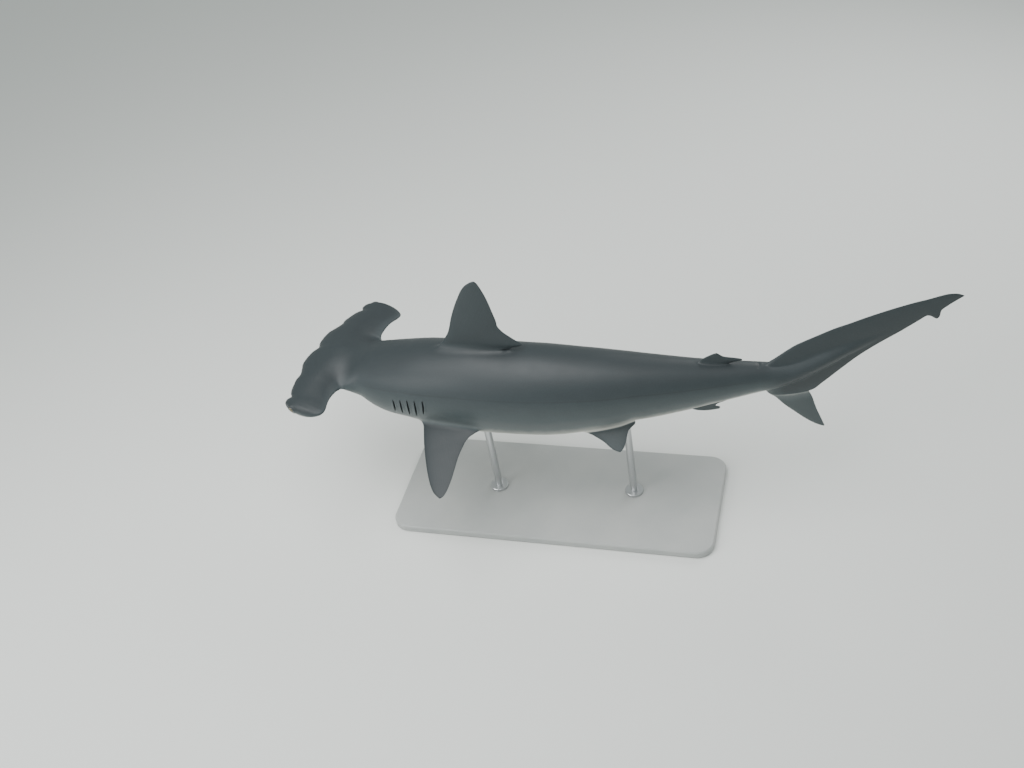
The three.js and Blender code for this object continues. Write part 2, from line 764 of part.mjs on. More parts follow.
const shark = new THREE.Group();
function addPart(name, geometry, material) {
  geometry.computeVertexNormals();
  const mesh = new THREE.Mesh(geometry, material);
  mesh.name = name;
  shark.add(mesh);
}

const bodySkin = skinMaterial(bodyColour);
const finSkin = skinMaterial(finColour);

addPart('head', bent(headSolid()), bodySkin);
addPart('front_body', bent(frontBodySolid()), bodySkin);
addPart('mid_body', bent(bodyPiece(waistStation + gap, ventStation)), bodySkin);
addPart('tail_stock', bent(bodyPiece(ventStation + gap, tailRootStation)), bodySkin);

const frontRoom = bodyPiece(neckStation, waistStation, gap);
const middleRoom = bodyPiece(waistStation, ventStation, gap);
const rearRoom = bodyPiece(ventStation, tailRootStation + gap, gap);
addPart('first_dorsal_fin', bent(finSolid(firstDorsal, onBack).subtract(frontRoom)), finSkin);
addPart('second_dorsal_fin', bent(finSolid(secondDorsal, onBack).subtract(rearRoom)), finSkin);
addPart('anal_fin', bent(finSolid(analFin, onBelly).subtract(rearRoom)), finSkin);
addPart('caudal_fin_upper', bent(upperLobeSolid().subtract(rearRoom)), finSkin);
const lobeBelow = solidFrom(geometryOf(upperLobeSolid(gap)).translate(0, 0, -2 * gap));
const lobeBehind = solidFrom(geometryOf(upperLobeSolid(gap)).translate(gap, 0, -gap));
const lowerLobeRoom = upperLobeSolid(gap).add(lobeBelow).add(lobeBehind).add(rearRoom);
addPart('caudal_fin_lower', bent(finSolid(lowerLobe, belowLine).subtract(lowerLobeRoom)), finSkin);

for (const [name, side] of [['left', -1], ['right', 1]]) {
  const pectoral = finSolid(pectoralFin, pairedPlace(pectoralFin, side)).subtract(frontRoom);
  const pelvic = finSolid(pelvicFin, pairedPlace(pelvicFin, side)).subtract(middleRoom);
  addPart(`pectoral_fin_${name}`, bent(pectoral), finSkin);
  addPart(`pelvic_fin_${name}`, bent(pelvic), finSkin);
  addPart(`eye_${name}`, bent(ball(eyeRadius, eyeMiddle(side))), eyeMaterial);
}

addPart('stand_base', geometryOf(standBase()), boardMaterial);
const rodRooms = [frontRoom, middleRoom];
['front', 'rear'].forEach((name, i) => {
  const room = solidFrom(bendGeometry(geometryOf(rodRooms[i])));
  addPart(`stand_rod_${name}`, geometryOf(standRod(rodStations[i], room)), steelMaterial);
});

export default shark;
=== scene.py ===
# A life-size scalloped hammerhead shark on a plain display stand
# The skin is built straight, in millimetres: x runs back from the snout, y to the right side, z up from
# the middle line. At the end every point is bent along the swimming curve and moved over the stand.

import math
import bpy
import bmesh
import numpy as np
from mathutils import Matrix, Vector
from mathutils.kdtree import KDTree


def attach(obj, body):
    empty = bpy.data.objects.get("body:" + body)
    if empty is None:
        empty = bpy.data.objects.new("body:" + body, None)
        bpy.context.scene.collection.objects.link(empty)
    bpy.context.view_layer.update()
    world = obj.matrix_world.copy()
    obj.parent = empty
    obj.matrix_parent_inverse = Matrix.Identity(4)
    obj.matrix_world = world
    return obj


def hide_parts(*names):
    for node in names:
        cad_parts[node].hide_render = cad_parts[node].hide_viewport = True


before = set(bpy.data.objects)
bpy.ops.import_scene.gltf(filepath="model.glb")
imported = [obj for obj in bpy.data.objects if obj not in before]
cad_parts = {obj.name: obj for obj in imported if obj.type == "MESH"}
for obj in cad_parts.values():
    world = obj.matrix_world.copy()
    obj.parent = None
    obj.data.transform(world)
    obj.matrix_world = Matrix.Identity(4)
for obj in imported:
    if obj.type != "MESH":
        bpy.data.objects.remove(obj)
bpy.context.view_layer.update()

metre = 1000.0  # millimetres in a metre, the scene's own unit


# Lines and curves

def lineThrough(points):
    # A smooth line through a few points that never overshoots them
    xs, ys = np.array(points, float).T
    slopes = np.diff(ys) / np.diff(xs)
    before, after = slopes[:-1], slopes[1:]
    sameWay = before * after > 0
    middle = np.where(sameWay, 2 * before * after / np.where(sameWay, before + after, 1), 0)
    tangents = np.concatenate([slopes[:1], middle, slopes[-1:]])

    def at(x):
        x = np.asarray(x, float)
        i = np.clip(np.searchsorted(xs, x, side="left") - 1, 0, len(xs) - 2)
        step = xs[i + 1] - xs[i]
        t = np.clip((x - xs[i]) / step, 0, 1)
        rise = ys[i + 1] - ys[i]
        start, end = tangents[i] * step, tangents[i + 1] * step
        return ys[i] + t * (start + t * (3 * rise - 2 * start - end + t * (start + end - 2 * rise)))

    return at


def smoothStep(x, low, high):
    t = np.clip((x - low) / (high - low), 0, 1)
    return t * t * (3 - 2 * t)


def hump(distance, width):
    # 1 at no distance, fading to nothing over about two widths
    return np.exp(-(distance / width) ** 2)


def unit(vectors):
    return vectors / np.maximum(np.linalg.norm(vectors, axis=-1, keepdims=True), 1e-9)


# The body's own lines, as stations and values in mm; the heading is in degrees

body = {
    "curveLength": 2300,
    "middleHeight": 520,  # of the middle line above the floor
    "baseCentre": 880,  # station over the middle of the stand
    "straightAhead": 782,  # station where the body heads along the stand
    "neck": 255,
    "tailRoot": 1622,
    "heading": [(0, -10.2), (230, -11), (506, -6.1), (782, 0), (1265, 10.1), (1610, 12), (2300, 9.4)],
    "back": [(255, 92), (368, 122), (506, 148), (690, 166), (874, 164), (1058, 147), (1242, 117),
             (1426, 85), (1622, 57)],
    "belly": [(255, 79), (310, 115), (368, 130), (430, 133), (506, 145), (690, 163), (874, 163),
              (1058, 143), (1130, 129), (1190, 109), (1242, 104), (1340, 90), (1426, 74), (1530, 55),
              (1622, 39)],
    "halfWidth": [(255, 118), (368, 137), (506, 147), (690, 147), (874, 142), (1058, 126), (1242, 99),
                  (1426, 69), (1622, 41)],
    "sides": 192,
    "ringStep": 5,
}
tailCore = {
    # the body's end inside the tail fin
    "length": 440, "climb": 25, "turnIn": 100,  # climb in degrees, reached once the turn upward is done
    "taper": 0.9, "end": 2, "endBy": 40,  # half width and half height that are left at the end
    "spread": 0.35, "ridgeBy": 90, "fadeFrom": 150,
    "blendFrom": 1590, "blendPower": (8, 2.6), "softBy": 120,  # crisp where the fin starts, soft further on
    "seamFrom": (-45, -15), "seamUntil": (90, 130),  # from the tail's root
}

backLine = lineThrough(body["back"])
bellyLine = lineThrough(body["belly"])
halfWidthLine = lineThrough(body["halfWidth"])
neck, tailRoot = body["neck"], body["tailRoot"]


def section(x):
    # Half width, half height and middle height of the body, on into the core of the tail fin
    x = np.asarray(x, float)
    past = np.maximum(0, x - tailRoot)
    taper = (1 - np.clip(past / tailCore["length"], 0, 1)) ** tailCore["taper"]
    turnIn = np.minimum(past, tailCore["turnIn"])
    beyond = np.maximum(0, past - tailCore["turnIn"])
    rise = math.tan(math.radians(tailCore["climb"])) * (turnIn ** 2 / (2 * tailCore["turnIn"]) + beyond)
    ended = tailCore["end"] * np.clip(past / tailCore["endBy"], 0, 1)
    top, bottom = backLine(x), bellyLine(x)
    wide = halfWidthLine(x) * taper + ended
    high = (top + bottom) / 2 * taper + ended
    return wide, high, (top - bottom) / 2 * taper + rise


def outside(points):
    # How far each point lies outside the body's surface, in mm, and less than 0 inside it
    wide, high, middle = section(points[..., 0])
    up = points[..., 2] - middle
    ratio = np.hypot(points[..., 1] / wide, up / high) + 1e-6
    return np.hypot(points[..., 1], up) * (1 - 1 / ratio)


curveStep = 10
headingLine = lineThrough(body["heading"])
headings = np.radians(headingLine(np.arange(0, body["curveLength"], curveStep) + curveStep / 2))
curveX = np.concatenate([[0], np.cumsum(np.cos(headings))]) * curveStep
curveY = np.concatenate([[0], np.cumsum(np.sin(headings))]) * curveStep


def curveAt(x):
    stations = np.arange(len(curveX)) * curveStep
    return np.interp(x, stations, curveX), np.interp(x, stations, curveY)


straightX, straightY = curveAt(body["straightAhead"])
underBase = body["baseCentre"] - body["straightAhead"]


def bend(points):
    # Takes points of the straight shark to their place over the stand
    atX, atY = curveAt(points[:, 0])
    angle = np.radians(headingLine(points[:, 0]))
    return np.stack([
        atX - straightX - underBase - points[:, 1] * np.sin(angle),
        atY - straightY + points[:, 1] * np.cos(angle),
        points[:, 2] + body["middleHeight"],
    ], 1)


# Meshes

def newMesh(name, points, faces):
    mesh = bpy.data.meshes.new(name)
    mesh.from_pydata((np.asarray(points) / metre).tolist(), [], [list(map(int, f)) for f in faces])
    mesh.update()
    thing = bpy.data.objects.new(name, mesh)
    bpy.context.scene.collection.objects.link(thing)
    return thing


def closedMesh(name, points, faces):
    # With all faces turned outward
    thing = newMesh(name, points, faces)
    shape = bmesh.new()
    shape.from_mesh(thing.data)
    bmesh.ops.recalc_face_normals(shape, faces=shape.faces[:])
    shape.to_mesh(thing.data)
    shape.free()
    return thing


def readAll(items, key, size, kind=np.float32):
    values = np.empty(len(items) * size, kind)
    items.foreach_get(key, values)
    return values.reshape(-1, size)


def placesOf(thing):
    # Places are in mm, and only the mesh itself is in metres
    return readAll(thing.data.vertices, "co", 3).astype(float) * metre


def setPlaces(thing, places):
    thing.data.vertices.foreach_set("co", np.asarray(places / metre, np.float32).ravel())
    thing.data.update()


def normalsOf(thing):
    return readAll(thing.data.vertex_normals, "vector", 3).astype(float)


def edgesOf(thing):
    return readAll(thing.data.edges, "vertices", 2, np.int32)


def setValue(thing, name, values):
    layer = thing.data.attributes.new(name, "FLOAT", "POINT")
    layer.data.foreach_set("value", np.asarray(values, np.float32))


def bandFaces(rows, sides, closed=False):
    # The faces between rings of points, and from the last ring to the first when closed
    row = np.arange(rows if closed else rows - 1)[:, None]
    here, following = row * sides, (row + 1) % rows * sides
    side = np.arange(sides)
    after = (side + 1) % sides
    return np.stack([here + side, here + after, following + after, following + side], -1).reshape(-1, 4)


def loft(name, rings):
    # A closed surface through rings of points, with a fan over each end
    rows, sides = rings.shape[:2]
    faces = bandFaces(rows, sides).tolist()
    points = rings.reshape(-1, 3)
    for first in (0, (rows - 1) * sides):
        points = np.vstack([points, points[first:first + sides].mean(0)])
        faces += [(first + k, first + (k + 1) % sides, len(points) - 1) for k in range(sides)]
    return closedMesh(name, points, faces)


def joinSolids(thing, others, operation="UNION"):
    bpy.context.view_layer.objects.active = thing
    for other in others:
        cut = thing.modifiers.new("join", "BOOLEAN")
        cut.operation = operation
        cut.solver = "MANIFOLD"
        cut.object = other
        bpy.ops.object.modifier_apply(modifier=cut.name)
        bpy.data.objects.remove(other)


def finder(places):
    # Gives the numbers of the nearest places to each point, and how far away they are
    tree = KDTree(len(places))
    for k, p in enumerate(places):
        tree.insert(p, k)
    tree.balance()

    def find(points, count):
        found = np.array([[near[1:] for near in tree.find_n(p, count)] for p in points]).reshape(-1, count, 2)
        return found[..., 0].astype(int), found[..., 1]

    return find


def relax(places, edges, weights, rounds):
    # Draws each vertex towards the middle of its neighbours, by its weight
    free = weights > 1e-4
    used = edges[free[edges].any(1)]
    ends = np.concatenate([used, used[:, ::-1]])
    count = np.bincount(ends[:, 0], minlength=len(places))[:, None]
    share = (weights * (count[:, 0] > 0))[:, None]
    for _ in range(rounds):
        total = np.stack([
            np.bincount(ends[:, 0], places[ends[:, 1], axis], minlength=len(places)) for axis in range(3)
        ], 1)
        places = places + share * (total / np.maximum(count, 1) - places)
    return places


# Head
# Seen from above, the front and rear edge of the hammer are told against the distance from the middle.
# At the neck the rear edge is up to 2 mm softer than the solid's.

head = {
    "halfWidth": 301,
    "front": [(0, 34), (10, 30), (32, 21), (58, 19), (84, 21), (112, 33), (136, 43), (148, 45), (164, 43),
              (190, 48), (214, 54), (230, 62), (242, 72), (251, 70), (261, 64), (273, 66), (284, 78),
              (292, 95), (298, 118), (301, 146)],
    "rear": [(118, 255), (121, 241), (126, 228), (134, 215), (146, 205), (160, 202), (180, 203), (205, 206),
             (232, 212), (254, 218), (266, 219), (278, 214), (288, 203), (296, 188), (300, 174), (301, 160)],
    "wingRearAtMiddle": 212,
    "level": 38, "levelFrom": 120, "neckFadeOut": 230, "tipDroop": 7,
    "rearDroop": 8,  # of the hammer's rear corners, on top of the tips' own droop
    "rearDroopFrom": (100, 150), "rearDroopFull": 215,  # (station, distance from the middle), station
    "upper": [(0, 36), (118, 30), (200, 24.5), (238, 22.5), (268, 24.5), (301, 22.5)],
    "lower": [(0, 30), (118, 26), (200, 21.5), (238, 20), (268, 21.5), (301, 20)],
    "endRound": 15,
    "neckUpper": [(40, 0), (100, 20), (160, 42), (210, 62)],
    "neckLower": [(60, 0), (115, 15), (160, 34), (205, 58)],
    "neckHalfWidth": [(60, 200), (150, 172), (200, 147), (235, 126), (255, 118)],
    "sideSoft": 1.5, "sideSteep": 0.5, "softUntil": 165, "rearRound": 16, "rimHalf": 4, "rimRound": 6,
    "seamReach": 36, "seamOut": (140, 170),
    "columns": 66, "rows": 84,
    "lastColumn": 0.48, "firstRow": 0.03,  # shares of half a turn, whose sine draws them together at edges
}
foil = {"thickestAt": 0.4, "front": 0.5, "rear": 0.75}
frontEdge = lineThrough(head["front"])
rearEdge = lineThrough(head["rear"])
wingRear = lineThrough([(0, head["wingRearAtMiddle"]), *head["rear"][4:]])
neckOut, neckHigh, neckMiddle = (float(v) for v in section(neck))
neckSpread = lineThrough(head["neckHalfWidth"])
cornerSlope = (head["rear"][0][1] - head["rear"][1][1]) / (head["rear"][1][0] - head["rear"][0][0])


def foilShape(share):
    # Thickness along a fin or the hammer: round in front, thin behind, 1 at most
    share = np.clip(share, 0, 1)
    most = foil["thickestAt"] ** foil["front"] * (1 - foil["thickestAt"]) ** foil["rear"]
    return share ** foil["front"] * (1 - share) ** foil["rear"] / most


def neckShare(x, out, start, end):
    # 0 on the hammer, 1 where the head has become the neck
    return smoothStep(x, start, end) * (1 - smoothStep(out, neckOut, head["neckFadeOut"]))


def headMiddle(x, out):
    intoNeck = neckShare(x, out, head["levelFrom"], neck)
    droop = head["tipDroop"] * smoothStep(out, neckOut, head["halfWidth"])
    farBack = smoothStep(x, head["rearDroopFrom"][0], head["rearDroopFull"])
    droop = droop + head["rearDroop"] * farBack * smoothStep(out, head["rearDroopFrom"][1], head["halfWidth"])
    return head["level"] + (neckMiddle - head["level"]) * intoNeck - droop


def headThickness(x, out, hammer, neckRise):
    front = frontEdge(out)
    pastEnd = np.maximum(0, out - (head["halfWidth"] - head["endRound"])) / head["endRound"]
    fromRim = 1 - np.clip((wingRear(out) - x) / head["rimRound"], 0, 1)
    rim = head["rimHalf"] * np.sqrt(1 - fromRim ** 2)
    wing = np.hypot(hammer(out) * foilShape((x - front) / (wingRear(out) - front)), rim)
    wing = wing * np.sqrt(np.maximum(0, 1 - pastEnd ** 2))
    across = np.minimum(1, out / neckSpread(x))
    steep = smoothStep(x, head["softUntil"], neck)
    side = (1 - across ** 2) ** (head["sideSoft"] + (head["sideSteep"] - head["sideSoft"]) * steep)
    rearOfSide = np.where(out > neckOut, rearEdge(out), neck + cornerSlope * (neckOut - out))
    fromRear = 1 - np.clip((rearOfSide - x) / head["rearRound"], 0, 1)
    tube = neckRise(x) * side * np.sqrt(1 - fromRear ** 2)
    return np.cbrt(wing ** 3 + tube ** 3)


upperHammer, lowerHammer = lineThrough(head["upper"]), lineThrough(head["lower"])
upperNeck = lineThrough([*head["neckUpper"], (neck, neckHigh)])
lowerNeck = lineThrough([*head["neckLower"], (neck, neckHigh)])


def headTop(x, y):
    out = np.abs(y)
    return headMiddle(x, out) + headThickness(x, out, upperHammer, upperNeck)


def headUnder(x, y):
    out = np.abs(y)
    return headMiddle(x, out) - headThickness(x, out, lowerHammer, lowerNeck)


def headSheets():
    # Points and faces of the upper and of the lower sheet, which meet along the head's edges. Behind, each
    # ends on its half of the neck's ring, with the ring's own spacing.
    turns = np.pi * (np.arange(body["sides"] // 2 + 1) / (body["sides"] // 2) - 0.5)
    spread = np.sin(head["lastColumn"] * np.pi * np.arange(1, head["columns"] + 1) / head["columns"])
    outer = neckOut + (head["halfWidth"] - neckOut) * spread / spread[-1]
    columns = np.concatenate([-outer[::-1], neckOut * np.sin(turns), outer])[:, None]
    margin = head["firstRow"]
    turn = np.pi * (margin + (1 - 2 * margin) * np.arange(head["rows"] + 1) / head["rows"])
    rowShare = (np.cos(turn[0]) - np.cos(turn)) / (2 * np.cos(turn[0]))
    out = np.abs(columns)
    atNeck = out <= neckOut + 1e-6
    front, rear = frontEdge(out), np.where(atNeck, neck, rearEdge(out))
    x = front + (rear - front) * rowShare
    y = np.repeat(columns, len(rowShare), 1)
    onEdge = np.zeros(x.shape, bool)
    onEdge[:, 0] = True
    onEdge[:, -1] = ~atNeck[:, 0]
    onEdge[0] = onEdge[-1] = True
    neckTurn = np.clip(columns / neckOut, -1, 1)
    rows = len(rowShare)
    a = (np.arange(len(columns) - 1)[:, None] * rows + np.arange(rows - 1)).ravel()
    faces = np.stack([a, a + rows, a + rows + 1, a + 1], 1)
    sheets = []
    for way, height in ((1, headTop), (-1, headUnder)):
        z = np.where(onEdge, headMiddle(x, out), height(x, y))
        ring = neckMiddle + way * neckHigh * np.sqrt(1 - neckTurn ** 2)
        z[:, -1:] = np.where(atNeck, ring, z[:, -1:])
        sheets.append((np.stack([x, y, z], -1).reshape(-1, 3), faces[:, ::way]))
    return sheets


def trunkRings():
    # Points and faces of the trunk and of the tail's core, with one more point for the fan at the end
    sides, end = body["sides"], tailRoot + tailCore["length"]
    steps, coreSteps = (int(length / body["ringStep"]) for length in (tailRoot - neck, tailCore["length"]))
    stations = np.concatenate([
        np.linspace(neck, tailRoot, steps + 1), np.linspace(tailRoot, end, coreSteps + 1)[1:]])
    around = 2 * np.pi * np.arange(sides) / sides
    wide, high, middle = (v[:, None] for v in section(stations))
    rings = np.stack(np.broadcast_arrays(
        stations[:, None], wide * np.sin(around), middle + high * np.cos(around)), -1)
    return np.vstack([rings.reshape(-1, 3), rings[-1].mean(0)]), bandFaces(len(stations), sides)


def headAndTrunk():
    # The head's sheets and the trunk share the points of the neck, so no seam is left
    pieces = [*headSheets(), trunkRings()]
    starts = np.cumsum([0] + [len(points) for points, _ in pieces])
    points = np.vstack([points for points, _ in pieces])
    faces = np.vstack([start + faces for start, (_, faces) in zip(starts, pieces)])
    # Points that meet are made one
    _, first, same = np.unique(np.round(points, 3), axis=0, return_index=True, return_inverse=True)
    same = same.ravel()
    tip = len(points) - 1
    lastRing = np.arange(tip - body["sides"], tip)
    fan = [(same[k], same[after], same[tip]) for k, after in zip(lastRing, np.roll(lastRing, -1))]
    return closedMesh("shark_skin", points[first], same[faces].tolist() + fan)


print("stage: head and trunk")
skin = headAndTrunk()


# Fins
# Each outline gives the front and the rear edge against the fin's height, both in mm. blend is how far
# the fin and the body round into each other at the root. rayLean is how far back the fin's rays lean, in
# mm for each mm of height.

firstDorsal = {
    "front": [(-34, 515), (0, 542), (37, 572), (67, 592), (135, 618), (198, 648), (250, 680), (269, 703),
              (276, 717)],
    "rear": [(-34, 764), (0, 767), (12, 796), (21, 832), (26, 841), (33, 836), (45, 820), (59, 803),
             (77, 783), (102, 769), (119, 768), (158, 761), (208, 751), (243, 740), (268, 729), (276, 722)],
    "thickness": [(-34, 26), (0, 23), (60, 18), (180, 11), (276, 4)],
    "blend": 24,
    "rowStep": 2.4,
    "rayLean": 0.55,
}
secondDorsal = {
    "front": [(-16, 1392), (0, 1402), (18, 1417), (35, 1442), (43, 1457)],
    "rear": [(-16, 1490), (0, 1492), (10, 1518), (17, 1540), (21, 1538), (25, 1518), (29, 1484), (36, 1471),
             (43, 1463)],
    "thickness": [(-16, 12), (0, 11), (20, 7), (43, 3)],
    "blend": 9,
    "rowStep": 0.8,
    "rayLean": 1.2,
}
analFin = {
    "front": [(-16, 1350), (0, 1358), (27, 1374), (41, 1400), (48, 1430), (50, 1452)],
    "rear": [(-16, 1452), (0, 1454), (8, 1480), (14, 1498), (19, 1488), (26, 1456), (32, 1449), (42, 1463),
             (50, 1464)],
    "thickness": [(-16, 11), (0, 10), (20, 7), (50, 3)],
    "blend": 9,
    "rowStep": 0.8,
    "rayLean": 1.3,
}
pectoralFin = {
    "baseOut": 108,
    "baseUp": -69,
    "tilt": 15,
    "droop": 10,
    "front": [(-30, 474), (0, 484), (25, 495), (52, 506), (102, 524), (161, 548), (209, 569), (248, 589),
              (274, 607), (290, 627)],
    "rear": [(-30, 640), (0, 644), (14, 672), (29, 688), (42, 680), (62, 664), (90, 655), (155, 649),
             (209, 649), (257, 645), (280, 639), (290, 632)],
    "thickness": [(-30, 25), (20, 21), (150, 12), (290, 4)],
    "blend": 24,
    "rowStep": 2.4,
    "rayLean": 0.42,
}
pelvicFin = {
    "baseOut": 57,
    "baseUp": -103,
    "tilt": 35,
    "droop": 3,
    "front": [(-24, 1012), (0, 1018), (26, 1026), (40, 1050), (62, 1084), (78, 1101), (88, 1114), (95, 1129)],
    "rear": [(-24, 1158), (-14, 1166), (-6, 1184), (0, 1188), (8, 1181), (16, 1172), (28, 1162), (42, 1158),
             (60, 1154), (80, 1147), (95, 1137)],
    "thickness": [(-24, 14), (10, 12), (50, 8), (95, 3)],
    "blend": 13,
    "rowStep": 1.6,
    "rayLean": 0.9,
}
upperLobe = {
    "root": 1610,
    "climb": 23,  # degrees; heights below run along this line and the edges across it
    "front": [(12, 52), (45, 58), (91, 70), (120, 77), (145, 81), (199, 82), (261, 83), (322, 79),
              (366, 77), (440, 71), (513, 62), (553, 55), (608, 47), (635, 36), (652, 20)],
    "rear": [(12, -58), (60, -92), (95, -119), (112, -120), (156, -106), (233, -77), (303, -53), (371, -37),
             (436, -25), (502, -10), (530, -4), (538, -8), (554, -29), (562, -25), (576, -4), (594, 3),
             (624, 11), (652, 17)],
    "thickness": [(12, 40), (80, 26), (200, 16), (400, 10), (652, 3)],
    "rowStep": 1.7,
    "rayLean": -0.8,
}
lowerLobe = {
    "front": [(0, 1594), (40, 1606), (64, 1619), (82, 1640), (120, 1670), (158, 1706), (192, 1740),
              (217, 1770), (233, 1797)],
    "rear": [(0, 1740), (60, 1747), (97, 1761), (149, 1775), (204, 1794), (224, 1801), (233, 1804)],
    "thickness": [(0, 30), (60, 22), (120, 13), (233, 3)],
    "rowStep": 2,
    "rayLean": 0.8,
    "fadeIn": 35,
}
finEdge = {"half": 0.5, "tipRound": 5, "tipChord": 0.4}  # mm, and the share of the chord left at the tip
rootHug = {"from": 4, "backUntil": 32, "bellyUntil": 20}  # heights over which a root lets go of the body
chordSteps = 44


def onMiddle(line, way, hugUntil):
    # Places of a fin on the back, or under the belly where way is -1, with a root that hugs the body
    def place(x, half, height):
        wide, high, _ = section(x)
        share = np.clip(np.abs(half) / wide, 0, 0.95)
        drop = high * (1 - np.sqrt(1 - share ** 2)) * (1 - smoothStep(height, rootHug["from"], hugUntil))
        return np.stack([x, half, way * (line(x) + height - drop)], -1)

    return place


onBack = onMiddle(backLine, 1, rootHug["backUntil"])
onBelly = onMiddle(bellyLine, -1, rootHug["bellyUntil"])


def belowLine(x, half, height):
    return np.stack([x, half, -height], -1)


def pairedPlace(fin, side):
    tilt = math.radians(fin["tilt"])
    span = fin["front"][-1][0]

    def place(x, half, height):
        droop = fin["droop"] * (np.maximum(0, height) / span) ** 2
        return np.stack([
            x,
            side * (fin["baseOut"] + height * math.cos(tilt) + half * math.sin(tilt)),
            fin["baseUp"] - height * math.sin(tilt) + half * math.cos(tilt) - droop,
        ], -1)

    return place


lobeClimb = math.radians(upperLobe["climb"])


def alongLobe(across, half, along):
    return np.stack([
        upperLobe["root"] + along * math.cos(lobeClimb) - across * math.sin(lobeClimb),
        half,
        along * math.sin(lobeClimb) + across * math.cos(lobeClimb),
    ], -1)


# The other way round: a point's place along the chord of a fin and its height, read off its plane

def middlePlane(line, way):
    return lambda p: (p[:, 0], way * p[:, 2] - line(p[:, 0]))


def lowerPlane(p):
    return p[:, 0], -p[:, 2]


def pairedPlane(fin):
    return lambda p: (p[:, 0], (np.abs(p[:, 1]) - fin["baseOut"]) / math.cos(math.radians(fin["tilt"])))


def lobePlane(p):
    past = p[:, 0] - upperLobe["root"]
    return (p[:, 2] * math.cos(lobeClimb) - past * math.sin(lobeClimb),
            past * math.cos(lobeClimb) + p[:, 2] * math.sin(lobeClimb))


def finChord(fin, height):
    # Middle and length of the chord at a height, and how far the tip's rounding draws it in
    top, tipChord = fin["front"][-1][0], finEdge["tipChord"]
    front, rear = lineThrough(fin["front"])(height), lineThrough(fin["rear"])(height)
    nearTip = np.clip((height - (top - finEdge["tipRound"])) / finEdge["tipRound"], 0, 0.98)
    drawn = np.sqrt(1 - nearTip ** 2)
    return (front + rear) / 2, (rear - front) * (tipChord + (1 - tipChord) * drawn), drawn


def finThickness(fin, share, height, drawn):
    return (lineThrough(fin["thickness"])(height) / 2 * foilShape(share) + finEdge["half"] * share) * drawn


def finSolid(name, fin, place):
    low, top = fin["front"][0][0], fin["front"][-1][0]
    heights = np.linspace(low, top, int((top - low) / fin["rowStep"]) + 1)
    shares = (1 - np.cos(np.pi * np.arange(chordSteps + 1) / chordSteps)) / 2
    share = np.concatenate([shares, shares[-1:0:-1]])
    face = np.concatenate([[0], np.ones(chordSteps), -np.ones(chordSteps)])
    height = np.repeat(heights[:, None], len(share), 1)
    middle, chord, drawn = finChord(fin, height)
    half = finThickness(fin, share, height, drawn)
    return loft(name, place(middle + (share - 0.5) * chord, face * half, height))


def bodyShape(points):
    # How far points lie from the body's surface, and the way out of it
    step = 0.5
    moves = step * np.eye(3)
    slope = np.stack([(outside(points + move) - outside(points - move)) / (2 * step) for move in moves], -1)
    grows = np.maximum(np.linalg.norm(slope, axis=-1), 0.2)
    return outside(points) / grows, slope / grows[:, None]


def meshShape(places, normals):
    # The same for a surface that is known by its points
    find = finder(places)

    def shape(points):
        index, away = find(points, 4)
        weight = 1 / (away + 0.1) ** 2
        weight = (weight / weight.sum(1, keepdims=True))[..., None]
        way = unit((normals[index] * weight).sum(1))
        return (((points[:, None] - places[index]) * normals[index]).sum(2) * weight[..., 0]).sum(1), way

    return shape


joining = {"cycles": 4, "steps": 3, "relax": 0.35, "relaxRounds": 5}


def roundJoin(places, edges, near, shapes, blend):
    # Moves the points where two shapes meet onto one surface that rounds from one into the other
    within = np.zeros(len(places))
    for cycle in range(joining["cycles"]):
        for _ in range(joining["steps"]):
            (first, firstWay), (second, secondWay) = (shape(places[near]) for shape in shapes)
            overlap = np.clip(1 - np.abs(first - second) / blend, 0, 1)
            firstShare = np.where(first < second, 1 - overlap / 2, overlap / 2)[:, None]
            value = np.minimum(first, second) - overlap ** 2 * blend / 4
            way = firstShare * firstWay + (1 - firstShare) * secondWay
            size = np.maximum((way ** 2).sum(1), 0.3)
            step = np.clip(-value / size, -0.5 * blend, 0.5 * blend) * (overlap > 0)
            places[near] += step[:, None] * way
        if cycle < joining["cycles"] - 1:
            within[near] = joining["relax"] * smoothStep(overlap, 0.1, 0.6)
            places = relax(places, edges, within, joining["relaxRounds"])
    return places


def roundRoot(places, edges, root):
    blend = root["blend"]
    low, high = root["places"].min(0) - blend, root["places"].max(0) + blend
    near = np.flatnonzero(((places > low) & (places < high)).all(1))
    near = near[outside(places[near]) < 1.2 * blend]
    rootShape = meshShape(root["places"], root["normals"])
    return roundJoin(places, edges, near, (bodyShape, rootShape), blend)


def notchWeights(places, fin, place):
    # How near points lie to the notch between a fin's free rear tip and the body
    reach = 0.8 * fin["blend"]
    behind = lineThrough(fin["rear"])(0) + 0.3 * fin["blend"]
    notch = place(np.array([behind]), np.zeros(1), np.array([1.0]))
    return smoothStep(reach - np.linalg.norm(places - notch, axis=1), 0, 0.5 * reach)


def coreHalf(x, z):
    # Half width of the body's end inside the tail fin: its own oval at first, a soft ridge further on
    wide, high, middle = section(x)
    past = x - tailRoot
    spread = 1 + tailCore["spread"] * smoothStep(past, 0, tailCore["turnIn"])
    power = 0.5 + smoothStep(past, 0, tailCore["ridgeBy"])
    share = np.clip(np.abs(z - middle) / (high * spread), 0, 1)
    fade = 1 - smoothStep(past, tailCore["fadeFrom"], tailCore["length"])
    return wide * (1 - share ** 2) ** power * fade


def finHalf(fin, plane, points):
    along, height = plane(points)
    middle, chord, drawn = finChord(fin, height)
    share = (along - middle) / chord + 0.5
    onChord = (share > -0.03) & (share < 1.03)
    onHeight = (height >= fin["front"][0][0]) & (height < fin["front"][-1][0] + 1)
    return np.where(onChord & onHeight, finThickness(fin, np.clip(share, 0, 1), height, drawn), 0)


